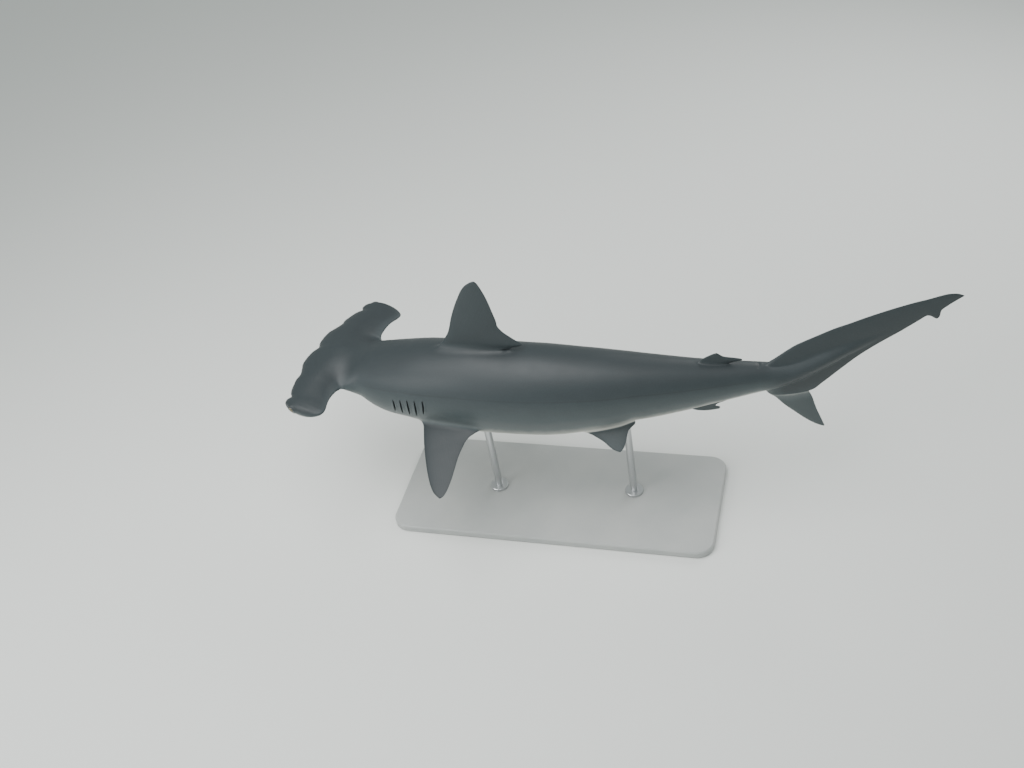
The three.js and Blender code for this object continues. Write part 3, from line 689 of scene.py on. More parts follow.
def shapeTail(places):
    # The tail's half width is worked out anew from the body's end and both lobes, without a seam
    tail = np.flatnonzero(places[:, 0] > tailCore["blendFrom"])
    p = places[tail]
    crisp, soft = tailCore["blendPower"]
    power = crisp - (crisp - soft) * smoothStep(p[:, 0] - tailRoot, 0, tailCore["softBy"])
    lower = finHalf(lowerLobe, lowerPlane, p) * smoothStep(-p[:, 2], 0, lowerLobe["fadeIn"])
    parts = (coreHalf(p[:, 0], p[:, 2]), finHalf(upperLobe, lobePlane, p), lower)
    half = sum(part ** power for part in parts) ** (1 / power)
    known = half > 0.05
    places[tail[known], 1] = np.sign(p[known, 1]) * half[known]
    return places


def softenSeams(places, edges):
    # Draws together the points at the tail's root, at the neck and behind the free rear tips of the fins
    station, out = places[:, 0], np.abs(places[:, 1])
    start, stop = (tailRoot + np.array(tailCore[key]) for key in ("seamFrom", "seamUntil"))
    tailSeam = smoothStep(station, *start) * (1 - smoothStep(station, *stop))
    neckSeam = smoothStep(head["seamReach"] - np.abs(station - neck), 0, head["seamReach"])
    neckSeam = neckSeam * (1 - smoothStep(out, *head["seamOut"]))
    notches = np.max([notchWeights(places, fin, place) for _, fin, place in roots], 0)
    for weights, rounds in ((0.5 * tailSeam, 12), (0.6 * neckSeam, 90), (0.5 * notches, 30)):
        places = relax(places, edges, weights, rounds)
    return places


print("stage: fins")
roots = [
    ("fin_first_dorsal", firstDorsal, onBack),
    ("fin_second_dorsal", secondDorsal, onBack),
    ("fin_anal", analFin, onBelly),
    *[("fin_pectoral", pectoralFin, pairedPlace(pectoralFin, side)) for side in (-1, 1)],
    *[("fin_pelvic", pelvicFin, pairedPlace(pelvicFin, side)) for side in (-1, 1)],
]
fins = [finSolid(*root) for root in roots]
bodyFins = [
    {"places": placesOf(made), "normals": normalsOf(made), "blend": fin["blend"]}
    for made, (_, fin, _) in zip(fins, roots)
]
fins.append(finSolid("fin_tail_upper", upperLobe, alongLobe))
fins.append(finSolid("fin_tail_lower", lowerLobe, belowLine))
joinSolids(skin, fins)
edges = edgesOf(skin)
places = shapeTail(placesOf(skin))
for root in bodyFins:
    places = roundRoot(places, edges, root)
setPlaces(skin, softenSeams(places, edges))
print("skin", len(skin.data.vertices), "vertices")


# Eyes and lids

eye = {
    "radius": 15.5, "station": 107, "out": 284, "aboveMiddle": 1, "forward": 18,  # degrees
    "clearFront": 0.035, "clearFrom": 0.72,  # how far the clear front stands proud, in radii, and where
    "irisRadius": 10.5, "pupil": (2.7, 6.2),
    "sides": 128, "rows": 56, "socketRows": 48, "socketGap": 0.25,
}
lid = {
    "radius": 14.4, "oval": (1.04, 0.96), "thickness": 3.2, "proud": 8.2,
    "heavier": 0.15, "overhang": 0.8,  # how much thicker it is above, and how much further out it stands
    "sides": 20, "blend": 6, "blendReach": 14, "headReach": 60,
}


def eyeAxes(side):
    # Middle of the eye, the way it looks, and the directions across and up its face
    middle = np.array([
        eye["station"], side * eye["out"], headMiddle(eye["station"], eye["out"]) + eye["aboveMiddle"]])
    turn = math.radians(eye["forward"])
    look = np.array([-math.sin(turn), side * math.cos(turn), 0])
    up = np.array([0, 0, 1.0])
    return middle, look, np.cross(up, look), up


def ballPoints(radius, rows):
    # Rings round the looking axis: distance along it, across and up
    down = np.pi * np.arange(1, rows)[:, None] / rows
    around = 2 * np.pi * np.arange(eye["sides"]) / eye["sides"]
    return radius * np.stack(np.broadcast_arrays(
        np.cos(down), np.sin(down) * np.cos(around), np.sin(down) * np.sin(around)), -1)


def placeBall(rings, side):
    middle, look, across, up = eyeAxes(side)
    return middle + rings[..., :1] * look + rings[..., 1:2] * across + rings[..., 2:] * up


def lidRing(side):
    # The lids: a soft ring round the eye
    around = 2 * np.pi * np.arange(eye["sides"])[:, None] / eye["sides"]
    tube = 2 * np.pi * np.arange(lid["sides"]) / lid["sides"]
    thick = lid["thickness"] * (1 + lid["heavier"] * np.sin(around))
    radius = lid["radius"] + thick * np.cos(tube)
    ahead = lid["proud"] + lid["overhang"] * np.sin(around) + thick * np.sin(tube)
    wide, high = lid["oval"]
    ring = np.stack([ahead, radius * np.cos(around) * wide, radius * np.sin(around) * high], -1)
    return closedMesh("lid", placeBall(ring, side).reshape(-1, 3), bandFaces(*radius.shape, closed=True))


print("stage: eyes")
lids = [lidRing(side) for side in (-1, 1)]
lidShapes = [meshShape(placesOf(ring), normalsOf(ring)) for ring in lids]
before, beforeNormals = placesOf(skin), normalsOf(skin)
joinSolids(skin, lids)
edges, places = edgesOf(skin), placesOf(skin)
for side, lidShape in zip((-1, 1), lidShapes):
    middle = eyeAxes(side)[0]
    around = np.linalg.norm(before - middle, axis=1) < lid["headReach"]
    near = np.flatnonzero(np.linalg.norm(places - middle, axis=1) < lid["radius"] + lid["blendReach"])
    headShape = meshShape(before[around], beforeNormals[around])
    places = roundJoin(places, edges, near, (headShape, lidShape), lid["blend"])
setPlaces(skin, places)
socketRings = ballPoints(eye["radius"] + eye["socketGap"], eye["socketRows"])
joinSolids(skin, [loft("socket", placeBall(socketRings, side)) for side in (-1, 1)], "DIFFERENCE")


# What is carved into the skin
# A feature runs along a path on the skin. Each vertex near it is moved out and across by its profile.
# A ridge has a height, a distance from the path and a width; lips are ridges on both sides of the path.
# reach is how far from the path the profile ends, and the darkness setting is painted shade: how dark the
# slot's bottom is painted, standing in for the shade in the recess.

mouth = {
    "front": 158, "corner": 236, "halfWidth": 82, "arch": 0.4,
    "reach": 26, "depth": 11, "width": 1.7, "ridgeEnds": 0.8,
    "cornerDepth": 0.2,  # share of the depth that is left at the corners
    "tuck": 2.5,  # how far the slot leans under the upper lip
    "ridges": [(4.6, 6.2, 3.6), (4.8, -5.8, 3.4)],
    # the furrows' darkening is painted shade in the creases beside the lips
    "furrows": [(1.8, 14.5, 3.2), (1.8, -14.5, 3.2)], "furrowShade": 0.05,
    "pad": 6, "padRise": 26, "padEnd": (200, 300), "padSides": (0.55, 1),  # the lower jaw, inside the arch
}
nostril = {
    "from": 222, "to": 256, "behindEdge": 9, "reach": 12, "depth": 9, "width": 1.9,
    "ridges": [(1.3, -4.5, 2.4), (1.0, 4.5, 2.4)],
}
nasalGroove = {
    "from": 150, "to": 224, "behindEdge": 5, "reach": 9,
    # its darkness is painted shade in the groove
    "depth": 1.8, "width": 2.2, "ends": 0.7, "recessShade": 0.35,
}
gill = {
    # station, height of the middle and length of each slit
    "slits": [(404, -14, 58), (431, -12, 68), (458, -10, 76), (485, -6, 74), (514, 4, 60)],
    "leanBack": 7, "bow": 4, "reach": 18, "depth": 9, "width": 1.5, "off": 1, "ends": 0.75, "across": -5.4,
    "ridges": [(2.6, -3.6, 5), (0.9, 7, 4)], "ridgeEnds": 1.1,  # the flap, and the skin beyond the slit
}
lateralLine = {
    "from": 300, "to": 1585, "rise": 0.36,  # share of the body's half height
    # its darkness is painted shade in the shallow groove
    "reach": 5, "depth": 0.55, "width": 1.3, "ends": 0.3, "recessShade": 0.3,
}
vent = {
    "from": 1094, "to": 1116, "reach": 11, "depth": 4, "width": 1.4,
    "lips": [(1.5, 4, 2.6)], "ridgeEnds": 0.8,
}
# the pit's darkness is painted shade
tailPit = {"station": 1592, "halfWidth": 17, "bow": 6, "reach": 15, "depth": 2.4, "width": 5, "recessShade": 0.06}
features = []


def addFeature(path, outward, shape, profile=None, finest=0.7):
    # across points to the path's own right, seen from outside the skin
    along = unit(np.gradient(path, axis=0))
    features.append({
        "path": path, "outward": unit(outward), "across": unit(np.cross(along, outward)),
        "reach": shape["reach"], "profile": profile or carved(shape), "finest": finest,
    })


def underPath(x, y):
    # A path on the underside of the head, with the skin's outward direction along it
    z = headUnder(x, y)
    slopeX = (headUnder(x + 1, y) - headUnder(x - 1, y)) / 2
    slopeY = (headUnder(x, y + 1) - headUnder(x, y - 1)) / 2
    return np.stack([x, y, z], 1), np.stack([slopeX, slopeY, -np.ones_like(x)], 1)


def bodyPath(x, y=None, z=None, way=1):
    # A path on the body at a distance y from the middle or at a height z. way is -1 on the belly or the left.
    wide, high, middle = section(x)
    if y is None:
        y = way * wide * np.sqrt(1 - ((z - middle) / high) ** 2)
    else:
        z = middle + way * high * np.sqrt(1 - (y / wide) ** 2)
    return np.stack([x, y, z], 1), np.stack([0 * x, y / wide ** 2, (z - middle) / high ** 2], 1)


def ends(share, blunt=0.5):
    # Fades a feature out towards both of its ends
    return np.clip(1 - np.abs(2 * share - 1) ** 2, 0, 1) ** blunt


def ridges(distance, shapes):
    return sum(height * hump(distance - at, width) for height, at, width in shapes)


def carved(shape):
    # How far a feature moves the skin out and across, and how much painted shade it puts in its recess
    def profile(d, share):
        slot = hump(d - shape.get("off", 0), shape["width"]) * ends(share, shape.get("ends", 0.5))
        raised = ridges(d, shape.get("ridges", [])) + ridges(np.abs(d), shape.get("lips", []))
        out = raised * ends(share, shape.get("ridgeEnds", 0.5)) - shape["depth"] * slot
        return out, shape.get("across", 0) * slot, shape.get("recessShade", 1) * slot

    return profile


def mouthProfile(d, share):
    least = mouth["cornerDepth"]
    slot = hump(d, mouth["width"]) * (least + (1 - least) * ends(share))
    furrows = ridges(d, mouth["furrows"])
    out = (ridges(d, mouth["ridges"]) - furrows) * ends(share, mouth["ridgeEnds"]) - mouth["depth"] * slot
    # painted shade: the slot and the furrows beside it are darkened where shade falls
    return out, mouth["tuck"] * slot, np.maximum(slot, mouth["furrowShade"] * furrows)


def mouthArch(out):
    # Station of the mouth's line, against the distance from the middle as a share of its half width
    return mouth["corner"] - (mouth["corner"] - mouth["front"]) * (1 - out ** 2) ** mouth["arch"]


def jawPad(points):
    # How far the lower jaw stands proud at each point under the head
    x, y, z = points.T
    out = np.clip(np.abs(y) / mouth["halfWidth"], 0, 1)
    rise = smoothStep(x - mouthArch(out), 0, mouth["padRise"]) * (1 - smoothStep(x, *mouth["padEnd"]))
    rise = rise * (1 - smoothStep(out, *mouth["padSides"]))
    return mouth["pad"] * rise * (z < headMiddle(x, np.abs(y)))


out = np.sin(np.pi * (np.linspace(0, 1, 400) - 0.5))
addFeature(*underPath(mouthArch(out), mouth["halfWidth"] * out), mouth, mouthProfile)
for side in (-1, 1):
    for groove, steps in ((nostril, 60), (nasalGroove, 120)):
        out = np.linspace(groove["from"], groove["to"], steps)
        addFeature(*underPath(frontEdge(out) + groove["behindEdge"], side * out), groove)
    for station, height, length in gill["slits"]:
        share = np.linspace(0.5, -0.5, 120) * side
        x = station + gill["leanBack"] * share + gill["bow"] * (1 - (2 * share) ** 2)
        addFeature(*bodyPath(x, z=height + length * share, way=side), gill)
    x = np.linspace(lateralLine["from"], lateralLine["to"], 1200)
    _, high, middle = section(x)
    addFeature(*bodyPath(x, z=middle + lateralLine["rise"] * high, way=side), lateralLine, finest=1.2)
x = np.linspace(vent["from"], vent["to"], 60)
addFeature(*bodyPath(x, 0 * x, way=-1), vent)
across = np.linspace(-1, 1, 80)
pitLine = tailPit["station"] - tailPit["bow"] * across ** 2
addFeature(*bodyPath(pitLine, tailPit["halfWidth"] * across), tailPit)


def nearest(points, feature):
    # For points near a path: which they are, how far across it they lie, and where along it
    path, reach = feature["path"], feature["reach"]
    near = np.flatnonzero(((points > path.min(0) - reach) & (points < path.max(0) + reach)).all(1))
    index, distance = (found[:, 0] for found in finder(path)(points[near], 1))
    keep = distance < reach
    near, index, distance = near[keep], index[keep], distance[keep]
    offset = points[near] - path[index]
    across = (offset * feature["across"][index]).sum(1)
    outward = (offset * feature["outward"][index]).sum(1)
    flat = np.sqrt(np.maximum(distance ** 2 - outward ** 2, 0))
    return near, index, np.where(across < 0, -flat, flat)


def refine(thing, reach, fine):
    # Splits the faces near any feature, so that its profile has points to bend
    points, edges = placesOf(thing), edgesOf(thing)
    wanted = np.zeros(len(points), bool)
    for feature in features:
        if feature["finest"] <= fine:
            near, _, _ = nearest(points, {**feature, "reach": min(reach, feature["reach"] + 2)})
            wanted[near] = True
    long = np.linalg.norm(points[edges[:, 0]] - points[edges[:, 1]], axis=1) > fine
    shape = bmesh.new()
    shape.from_mesh(thing.data)
    shape.edges.ensure_lookup_table()
    chosen = [shape.edges[int(k)] for k in np.flatnonzero(wanted[edges].all(1) & long)]
    bmesh.ops.subdivide_edges(shape, edges=chosen, cuts=1, use_grid_fill=True)
    bmesh.ops.triangulate(shape, faces=[f for f in shape.faces if len(f.verts) > 4])
    shape.to_mesh(thing.data)
    shape.free()


print("stage: mouth, nostrils and gill slits")
for reach, fine in ((18, 2.2), (10, 1.1), (5, 0.7)):
    refine(skin, reach, fine)
straight = placesOf(skin)
# painted shade: the darkening of every slot, groove, furrow and pit is gathered here
cavityShade = np.zeros(len(straight))
moved = straight.copy()
moved[:, 2] -= jawPad(straight)
for feature in features:
    near, index, distance = nearest(straight, feature)
    out, across, recessShade = feature["profile"](distance, index / (len(feature["path"]) - 1))
    fade = smoothStep(feature["reach"] - np.abs(distance), 0, 0.35 * feature["reach"])
    moved[near] += (out * fade)[:, None] * feature["outward"][index]
    moved[near] += (across * fade)[:, None] * feature["across"][index]
    cavityShade[near] = np.maximum(cavityShade[near], recessShade)


# What the skin's finish reads from the shape
# tone runs from 0, the dark back, to 1, the white belly; ray numbers the fins' rays, in mm across them

tones = {
    "shadeDepth": 13, "neckTurn": (150, 295), "headTurn": (235, 315),  # stations over which head becomes body
    # the lower tail lobe and the pelvic fins' tops are paler: partly the real paler underside, partly painted
    # light bounced up from below
    "upright": 0.24, "anal": 0.5, "lowerLobe": 0.52, "pelvicTop": 0.42,
    "upperLobeFrom": (1582, 1682), "lowerLobeFrom": (30, 110),  # stations, and mm below the middle line
    "duskyTip": 0.3, "duskyFrom": 0.62,  # share of the fin's height
    "raysFrom": (10, 60), "poresUntil": (120, 175),  # mm out of the body or past the tail's root; stations
    # painted shade: the skin is darkened in the narrow gap round each eyeball, over these mm from its socket
    "eyeRimShade": 0.6, "eyeRimShadeWidth": (0.3, 1),
}
x, y, z = straight.T
facing = unit(relax(normalsOf(skin), edgesOf(skin), np.full(len(straight), 0.5), 14))
_, high, middle = section(x)
intoNeck = neckShare(x, np.abs(y), *tones["neckTurn"])
inHead = 1 - smoothStep(x, *tones["headTurn"])
level = middle + (headMiddle(np.minimum(x, neck), np.abs(y)) - middle) * inHead
depth = tones["shadeDepth"] + (high - tones["shadeDepth"]) * np.maximum(intoNeck, 1 - inHead)
tone = 0.5 - 0.5 * np.clip((z - level) / depth, -1, 1)
above = np.where(x > neck, outside(straight), 0)
ray = np.zeros(len(straight))
paired = 0.5 - 0.5 * np.clip(2.2 * facing[:, 2], -1, 1)
# partly painted light: the pelvic fins' tops are kept no darker than this
pelvic = np.maximum(paired, tones["pelvicTop"])
backPlane, bellyPlane = middlePlane(backLine, 1), middlePlane(bellyLine, -1)
tailFrom, tailTo = tones["upperLobeFrom"][0], body["curveLength"]
finParts = [
    # which side of the body, between which stations, the tone, the fin and its plane
    (z > middle, 0, 1000, tones["upright"], firstDorsal, backPlane),
    (z > middle, 1380, 1550, tones["upright"], secondDorsal, backPlane),
    (z < middle, 1340, 1510, tones["anal"], analFin, bellyPlane),
    (z < middle, 460, 710, paired, pectoralFin, pairedPlane(pectoralFin)),
    (z < middle, 1000, 1200, pelvic, pelvicFin, pairedPlane(pelvicFin)),
    (z > -70, tailFrom, tailTo, tones["upright"], upperLobe, lobePlane),
    # the lower lobe grows paler downward: partly real, partly painted light from below
    (z < 0, tailFrom, tailTo, tones["lowerLobe"], lowerLobe, lowerPlane),
]
for where, start, stop, finTone, fin, plane in finParts:
    along, height = plane(straight)
    span = fin["front"][-1][0]
    sideways = along - fin["rayLean"] * height
    if fin is upperLobe:
        onFin = smoothStep(x, *tones["upperLobeFrom"])
        sideways = height - fin["rayLean"] * along
    elif fin is lowerLobe:
        onFin = smoothStep(-z, *tones["lowerLobeFrom"])
    else:
        onFin = smoothStep(above, 2, 0.8 * fin["blend"])
    onFin = np.where(where & (x > start) & (x < stop), onFin, 0)
    dusky = tones["duskyTip"] * smoothStep(height, tones["duskyFrom"] * span, span) * (finTone > 0.6)
    tone = tone + (finTone - dusky - tone) * onFin
    ray = np.where(onFin > 0.4, sideways, ray)
pastRoot = np.minimum(x - tailRoot, 80)
# painted shade round each eye, where the skin meets the eyeball's socket
nearEye = np.min([np.linalg.norm(straight - eyeAxes(side)[0], axis=1) for side in (-1, 1)], 0) - eye["radius"]
eyeRimShade = tones["eyeRimShade"] * (1 - smoothStep(nearEye, *tones["eyeRimShadeWidth"]))
setValue(skin, "tone", tone)
# painted shade of the slots, grooves, furrows, pits and the eyes' rims
setValue(skin, "cavityShade", np.clip(1.4 * np.maximum(cavityShade, eyeRimShade), 0, 1))
setValue(skin, "ray", ray)
setValue(skin, "rayed", smoothStep(np.where(x > tailRoot, pastRoot, above), *tones["raysFrom"]))
setValue(skin, "pores", (1 - smoothStep(x, *tones["poresUntil"])) * smoothStep(tone, 0.4, 0.7))
setPlaces(skin, bend(moved))


# Eyeballs

def eyeball(side):
    rings = ballPoints(eye["radius"], eye["rows"])
    ahead = rings[..., :1] / eye["radius"]
    rings = rings * (1 + eye["clearFront"] * smoothStep(ahead, eye["clearFrom"], 1))
    made = loft("eye_left_ball" if side < 0 else "eye_right_ball", placeBall(rings, side))
    points = placesOf(made)
    middle, look, across, up = eyeAxes(side)
    setValue(made, "across", (points - middle) @ across)
    setValue(made, "up", (points - middle) @ up)
    setPlaces(made, bend(points))
    return made


eyes = {"eye_left": eyeball(-1), "eye_right": eyeball(1)}


# Materials

def toLinear(code):
    values = [int(code[i:i + 2], 16) / 255 for i in (1, 3, 5)]
    return (*[v / 12.92 if v <= 0.04045 else ((v + 0.055) / 1.055) ** 2.4 for v in values], 1.0)


def addNode(tree, kind, settings=None, links=None):
    # A link is a node, for its first output, or a pair of a node and the output's name or number
    node = tree.nodes.new("ShaderNode" + kind)
    for key, value in (settings or {}).items():
        if isinstance(key, int) or key in node.inputs:
            node.inputs[key].default_value = value
        else:
            setattr(node, key, value)
    for key, source in (links or {}).items():
        other, output = source if isinstance(source, tuple) else (source, 0)
        tree.links.new(other.outputs[output], node.inputs[key])
    return node


def newMaterial(name, shading):
    # shading adds the nodes and gives the last of them, the shader
    material = bpy.data.materials.new(name)
    material.use_nodes = True
    tree = material.node_tree
    tree.nodes.clear()
    addNode(tree, "OutputMaterial", links={"Surface": shading(tree)})
    return material


def setRamp(node, stops):
    ramp = node.color_ramp
    while len(ramp.elements) < len(stops):
        ramp.elements.new(0.5)
    for element, (place, code) in zip(ramp.elements, stops):
        element.position = place
        element.color = toLinear(code)


sharkSkin = {
    "stops": [(0.0, "#272e31"), (0.30, "#31393c"), (0.55, "#434c4e"), (0.71, "#5c6364"), (0.80, "#989a96"),
              (0.88, "#cdccc5"), (1.0, "#dad8d1")],
    # painted shade: the near-black that slots, grooves, pits and eye rims are darkened towards
    "cavityShadeColour": "#1d1a1a",
    "cloudSize": 190,  # mm, broad patches
    "mottleSize": 34,  # mm, small ones
    "grainSize": 3,  # mm
    "denticleSize": 0.9,  # mm; the real ones are about 0.3 mm and wouldn't show
    "raySpacing": 1.6,  # mm
    "poreSpacing": 8,  # mm
    "shades": [(-0.025, 0.025), (-0.018, 0.018), (0.9, 1.1), (-0.16, 0.16)],  # clouds, mottle, grain and rays
    "roughness": (0.45, 0.56),
}


def sharkHide(tree):
    # Shark skin, a hide of tiny tooth-like scales: matt and slightly wet, grey above and off-white below
    tone, cavityShade, ray, rayed, pored = (
        addNode(tree, "Attribute", {"attribute_name": name})
        for name in ("tone", "cavityShade", "ray", "rayed", "pores"))
    place = {"Vector": (addNode(tree, "TexCoord"), "Object")}
    clouds, mottle, grain = (
        addNode(tree, "TexNoise", {"Scale": metre / sharkSkin[size], "Detail": detail}, place)
        for size, detail in (("cloudSize", 3), ("mottleSize", 5), ("grainSize", 3)))
    scaled = addNode(tree, "Math", {"operation": "DIVIDE", 1: sharkSkin["raySpacing"]}, {0: (ray, "Fac")})
    rays = addNode(tree, "TexNoise", {"noise_dimensions": "1D", "Scale": 1.0, "Detail": 1}, {"W": scaled})
    cloudy, mottled, grainShade, streak = (
        addNode(tree, "MapRange", {1: 0.3, 2: 0.7, 3: least, 4: most}, {0: noise})
        for noise, (least, most) in zip((clouds, mottle, grain, rays), sharkSkin["shades"]))

    # The border between the grey and the white wanders a little
    wander = addNode(tree, "Math", {"operation": "ADD"}, {0: cloudy, 1: mottled})
    wandering = addNode(tree, "Math", {"operation": "ADD"}, {0: (tone, "Fac"), 1: wander})
    colour = addNode(tree, "ValToRGB", links={"Fac": wandering})
    setRamp(colour, sharkSkin["stops"])

    # Grain all over, fine rays on the fins, pores under the snout
    rayShade = addNode(tree, "Math", {"operation": "MULTIPLY"}, {0: streak, 1: (rayed, "Fac")})
    pores = addNode(tree, "TexVoronoi", {"Scale": metre / sharkSkin["poreSpacing"]}, place)
    dot = addNode(tree, "MapRange", {1: 0.07, 2: 0.12, 3: -0.5, 4: 0.0}, {0: pores})
    poreShade = addNode(tree, "Math", {"operation": "MULTIPLY"}, {0: dot, 1: (pored, "Fac")})
    streaked = addNode(tree, "Math", {"operation": "ADD"}, {0: grainShade, 1: rayShade})
    shade = addNode(tree, "Math", {"operation": "ADD"}, {0: streaked, 1: poreShade})
    shaded = addNode(tree, "Mix", {"data_type": "RGBA", "blend_type": "MULTIPLY", 0: 1.0},
                     {6: colour, 7: shade})
    # painted shade: darkens the skin towards near-black in slots, grooves, pits and round the eyes
    cavityShaded = addNode(tree, "Mix", {"data_type": "RGBA", 7: toLinear(sharkSkin["cavityShadeColour"])},
                   {0: (cavityShade, "Fac"), 6: (shaded, 2)})

    scales = addNode(tree, "TexVoronoi", {"Scale": metre / sharkSkin["denticleSize"]}, place)
    fine = addNode(tree, "Bump", {"Strength": 0.5, "Distance": 0.00015}, {"Height": scales})
    relief = addNode(tree, "Math", {"operation": "ADD"}, {0: grain, 1: rayShade})
    soft = addNode(tree, "Bump", {"Strength": 0.25, "Distance": 0.0006}, {"Height": relief, "Normal": fine})
    least, most = sharkSkin["roughness"]
    rough = addNode(tree, "MapRange", {1: 0.2, 2: 0.8, 3: least, 4: most}, {0: mottle})
    return addNode(tree, "BsdfPrincipled", {"IOR": 1.45, "Coat Weight": 0.08, "Coat Roughness": 0.35},
                   {"Base Color": (cavityShaded, 2), "Roughness": rough, "Normal": soft})


eyeColour = {
    # from the middle of the iris outward, past its dark rim
    "stops": [(0.0, "#3f3a2a"), (0.45, "#6b6448"), (0.68, "#5d563f"), (0.80, "#1f1f1b"), (1.0, "#191b1b")],
    "pupil": "#050606",
}


def wetEye(tree):
    # A wet eye: dull gold-olive iris round a dark upright pupil, under a clear glossy front
    across, up = (addNode(tree, "Attribute", {"attribute_name": name}) for name in ("across", "up"))
    flat = addNode(tree, "CombineXYZ", links={0: (across, "Fac"), 1: (up, "Fac")})
    distance = addNode(tree, "VectorMath", {"operation": "LENGTH"}, {0: flat})
    squeezed = addNode(tree, "VectorMath",
                       {"operation": "DIVIDE", 1: (*eye["pupil"], 1)}, {0: flat})
    pupilRim = addNode(tree, "VectorMath", {"operation": "LENGTH"}, {0: squeezed})
    turn = addNode(tree, "Math", {"operation": "ARCTAN2"}, {0: (up, "Fac"), 1: (across, "Fac")})
    spokes = addNode(tree, "CombineXYZ", links={0: turn})
    streak = addNode(tree, "TexNoise", {"Scale": 14.0, "Detail": 3}, {"Vector": spokes})
    ring = addNode(tree, "MapRange", {1: 0, 2: eye["irisRadius"] * 1.25}, {0: (distance, "Value")})
    iris = addNode(tree, "ValToRGB", links={"Fac": ring})
    setRamp(iris, eyeColour["stops"])
    streaked = addNode(tree, "MapRange", {3: 0.65, 4: 1.3}, {0: streak})
    lit = addNode(tree, "Mix", {"data_type": "RGBA", "blend_type": "MULTIPLY", 0: 1.0},
                  {6: iris, 7: streaked})
    outsidePupil = addNode(tree, "MapRange", {1: 0.92, 2: 1.08}, {0: (pupilRim, "Value")})
    colour = addNode(tree, "Mix", {"data_type": "RGBA", 6: toLinear(eyeColour["pupil"])},
                     {0: outsidePupil, 7: (lit, 2)})
    return addNode(tree, "BsdfPrincipled",
                   {"Roughness": 0.28, "IOR": 1.38, "Coat Weight": 1.0, "Coat Roughness": 0.03},
                   {"Base Color": (colour, 2)})


stand = {
    "lacquer": [(0.3, "#a3a6a5"), (0.7, "#adafad")],
    "rippleSize": 4, "cloudSize": 180,  # mm
    "steel": "#c4c6c7",
    "ringSpacing": 0.8, "ringLength": 50,  # mm
}


def satinLacquer(tree):
    # Board sprayed with satin lacquer: even light grey, with the faint ripple of a sprayed film
    place = {"Vector": (addNode(tree, "TexCoord"), "Object")}
    ripple = addNode(tree, "TexNoise", {"Scale": metre / stand["rippleSize"], "Detail": 2}, place)
    cloud = addNode(tree, "TexNoise", {"Scale": metre / stand["cloudSize"], "Detail": 4}, place)
    colour = addNode(tree, "ValToRGB", links={"Fac": cloud})
    setRamp(colour, stand["lacquer"])
    bump = addNode(tree, "Bump", {"Strength": 0.15, "Distance": 0.0004}, {"Height": ripple})
    rough = addNode(tree, "MapRange", {3: 0.34, 4: 0.44}, {0: cloud})
    return addNode(tree, "BsdfPrincipled", {"IOR": 1.5},
                   {"Base Color": colour, "Roughness": rough, "Normal": bump})


def brushedSteel(tree):
    # Stainless steel rod, turned and brushed round its length: fine rings that stretch the highlights
    place = {"Vector": (addNode(tree, "TexCoord"), "Object")}
    across, along = metre / stand["ringLength"], metre / stand["ringSpacing"]
    stretched = addNode(tree, "Mapping", {"Scale": (across, across, along)}, place)
    lines = addNode(tree, "TexNoise", {"Scale": 1.0, "Detail": 3}, {"Vector": stretched})
    rough = addNode(tree, "MapRange", {3: 0.22, 4: 0.4}, {0: lines})
    bump = addNode(tree, "Bump", {"Strength": 0.2, "Distance": 0.0001}, {"Height": lines})
    return addNode(tree, "BsdfPrincipled", {"Metallic": 1.0, "Base Color": toLinear(stand["steel"])},
                   {"Roughness": rough, "Normal": bump})


def paintedFloor(tree):
    return addNode(tree, "BsdfPrincipled", {"Base Color": toLinear("#e2e4e1"), "Roughness": 0.9})


def dress(thing, material):
    thing.data.materials.clear()
    thing.data.materials.append(material)


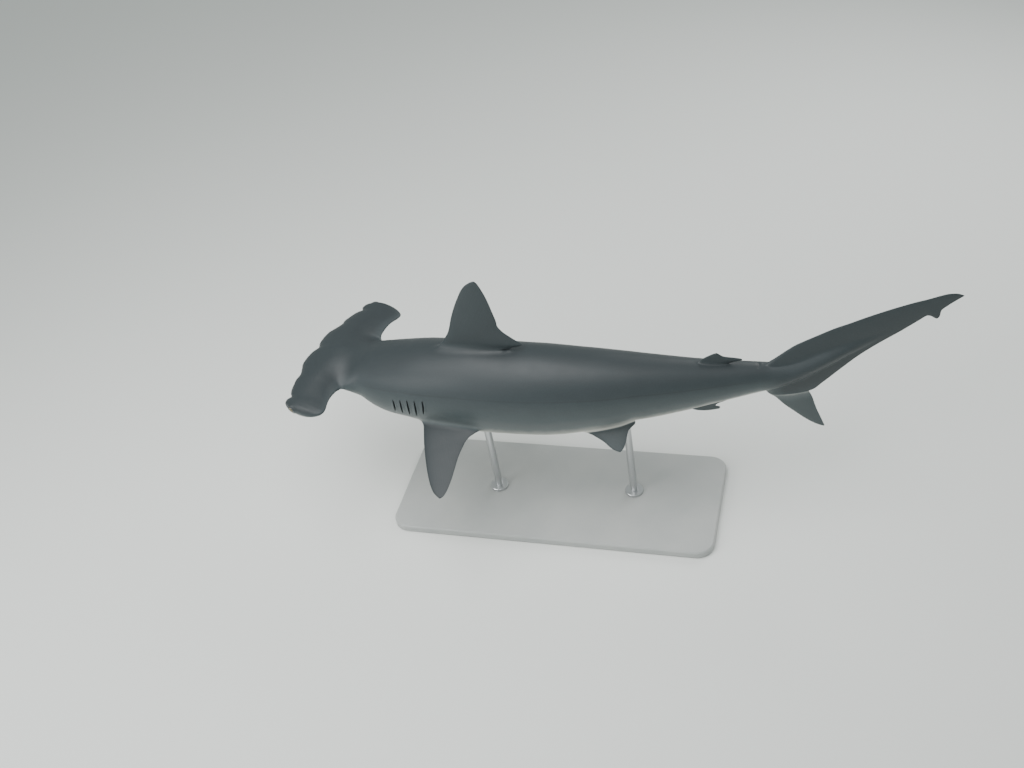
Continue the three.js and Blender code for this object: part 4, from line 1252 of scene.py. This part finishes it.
print("stage: materials")
flesh = ["head", "front_body", "mid_body", "tail_stock", "first_dorsal_fin", "second_dorsal_fin", "anal_fin",
         "caudal_fin_upper", "caudal_fin_lower", "pectoral_fin_left", "pectoral_fin_right",
         "pelvic_fin_left", "pelvic_fin_right"]
dress(skin, newMaterial("shark_skin_denticles", sharkHide))
skin.data.polygons.foreach_set("use_smooth", [True] * len(skin.data.polygons))
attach(skin, "root")
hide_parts(*flesh)
eyeFinish = newMaterial("wet_eye", wetEye)
for node, ball in eyes.items():
    dress(ball, eyeFinish)
    ball.data.polygons.foreach_set("use_smooth", [True] * len(ball.data.polygons))
    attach(ball, "root")
    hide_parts(node)
dress(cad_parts["stand_base"], newMaterial("satin_lacquer_on_board", satinLacquer))
steel = newMaterial("brushed_steel", brushedSteel)
for name in ("stand_rod_front", "stand_rod_rear"):
    dress(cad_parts[name], steel)


# Floor, light and camera

print("stage: floor, light and camera")
half = 30 * metre
corners = [(-half, -half, 0), (half, -half, 0), (half, half, 0), (-half, half, 0)]
floor = newMesh("floor", corners, [(0, 1, 2, 3)])
dress(floor, newMaterial("studio_floor", paintedFloor))

lights = {
    # place and aim in metres, size of the soft box and its power
    "above": {"place": (-0.6, -0.8, 3.6), "aim": (0, 0, 0.4), "size": (3.4, 2.6), "power": 140},
    "left": {"place": (-2.8, -2.6, 2.2), "aim": (0, 0, 0.5), "size": (2.2, 1.6), "power": 60},
    "behind": {"place": (1.8, 3.0, 2.4), "aim": (0, 0, 0.5), "size": (2.4, 1.6), "power": 50},
}
for name, light in lights.items():
    lamp = bpy.data.lights.new(name, "AREA")
    lamp.shape = "RECTANGLE"
    lamp.size, lamp.size_y = light["size"]
    lamp.energy = light["power"]
    thing = bpy.data.objects.new(name, lamp)
    thing.location = light["place"]
    thing.rotation_euler = (Vector(light["aim"]) - Vector(light["place"])).to_track_quat("-Z", "Y").to_euler()
    bpy.context.scene.collection.objects.link(thing)
world = bpy.data.worlds.new("studio")
world.use_nodes = True
background = world.node_tree.nodes["Background"].inputs
background["Color"].default_value = toLinear("#e4ecea")
background["Strength"].default_value = 0.65
bpy.context.scene.world = world

view = {
    "place": (1.0203, -2.8042, 3.1222),
    "turn": -21.766,  # degrees from straight along +Y, to the right
    "down": 40.573,
    "roll": -11.317,
    "lens": 41.80,
    "sensor": 36,  # mm, its width
}
turn, down, roll = (math.radians(view[k]) for k in ("turn", "down", "roll"))
camera = bpy.data.objects.new("camera", bpy.data.cameras.new("camera"))
camera.data.lens = view["lens"]
camera.data.sensor_width = view["sensor"]
looking = Matrix.Rotation(-turn, 4, "Z") @ Matrix.Rotation(math.pi / 2 - down, 4, "X")
camera.matrix_world = Matrix.Translation(view["place"]) @ looking @ Matrix.Rotation(roll, 4, "Z")
bpy.context.scene.collection.objects.link(camera)
bpy.context.scene.camera = camera
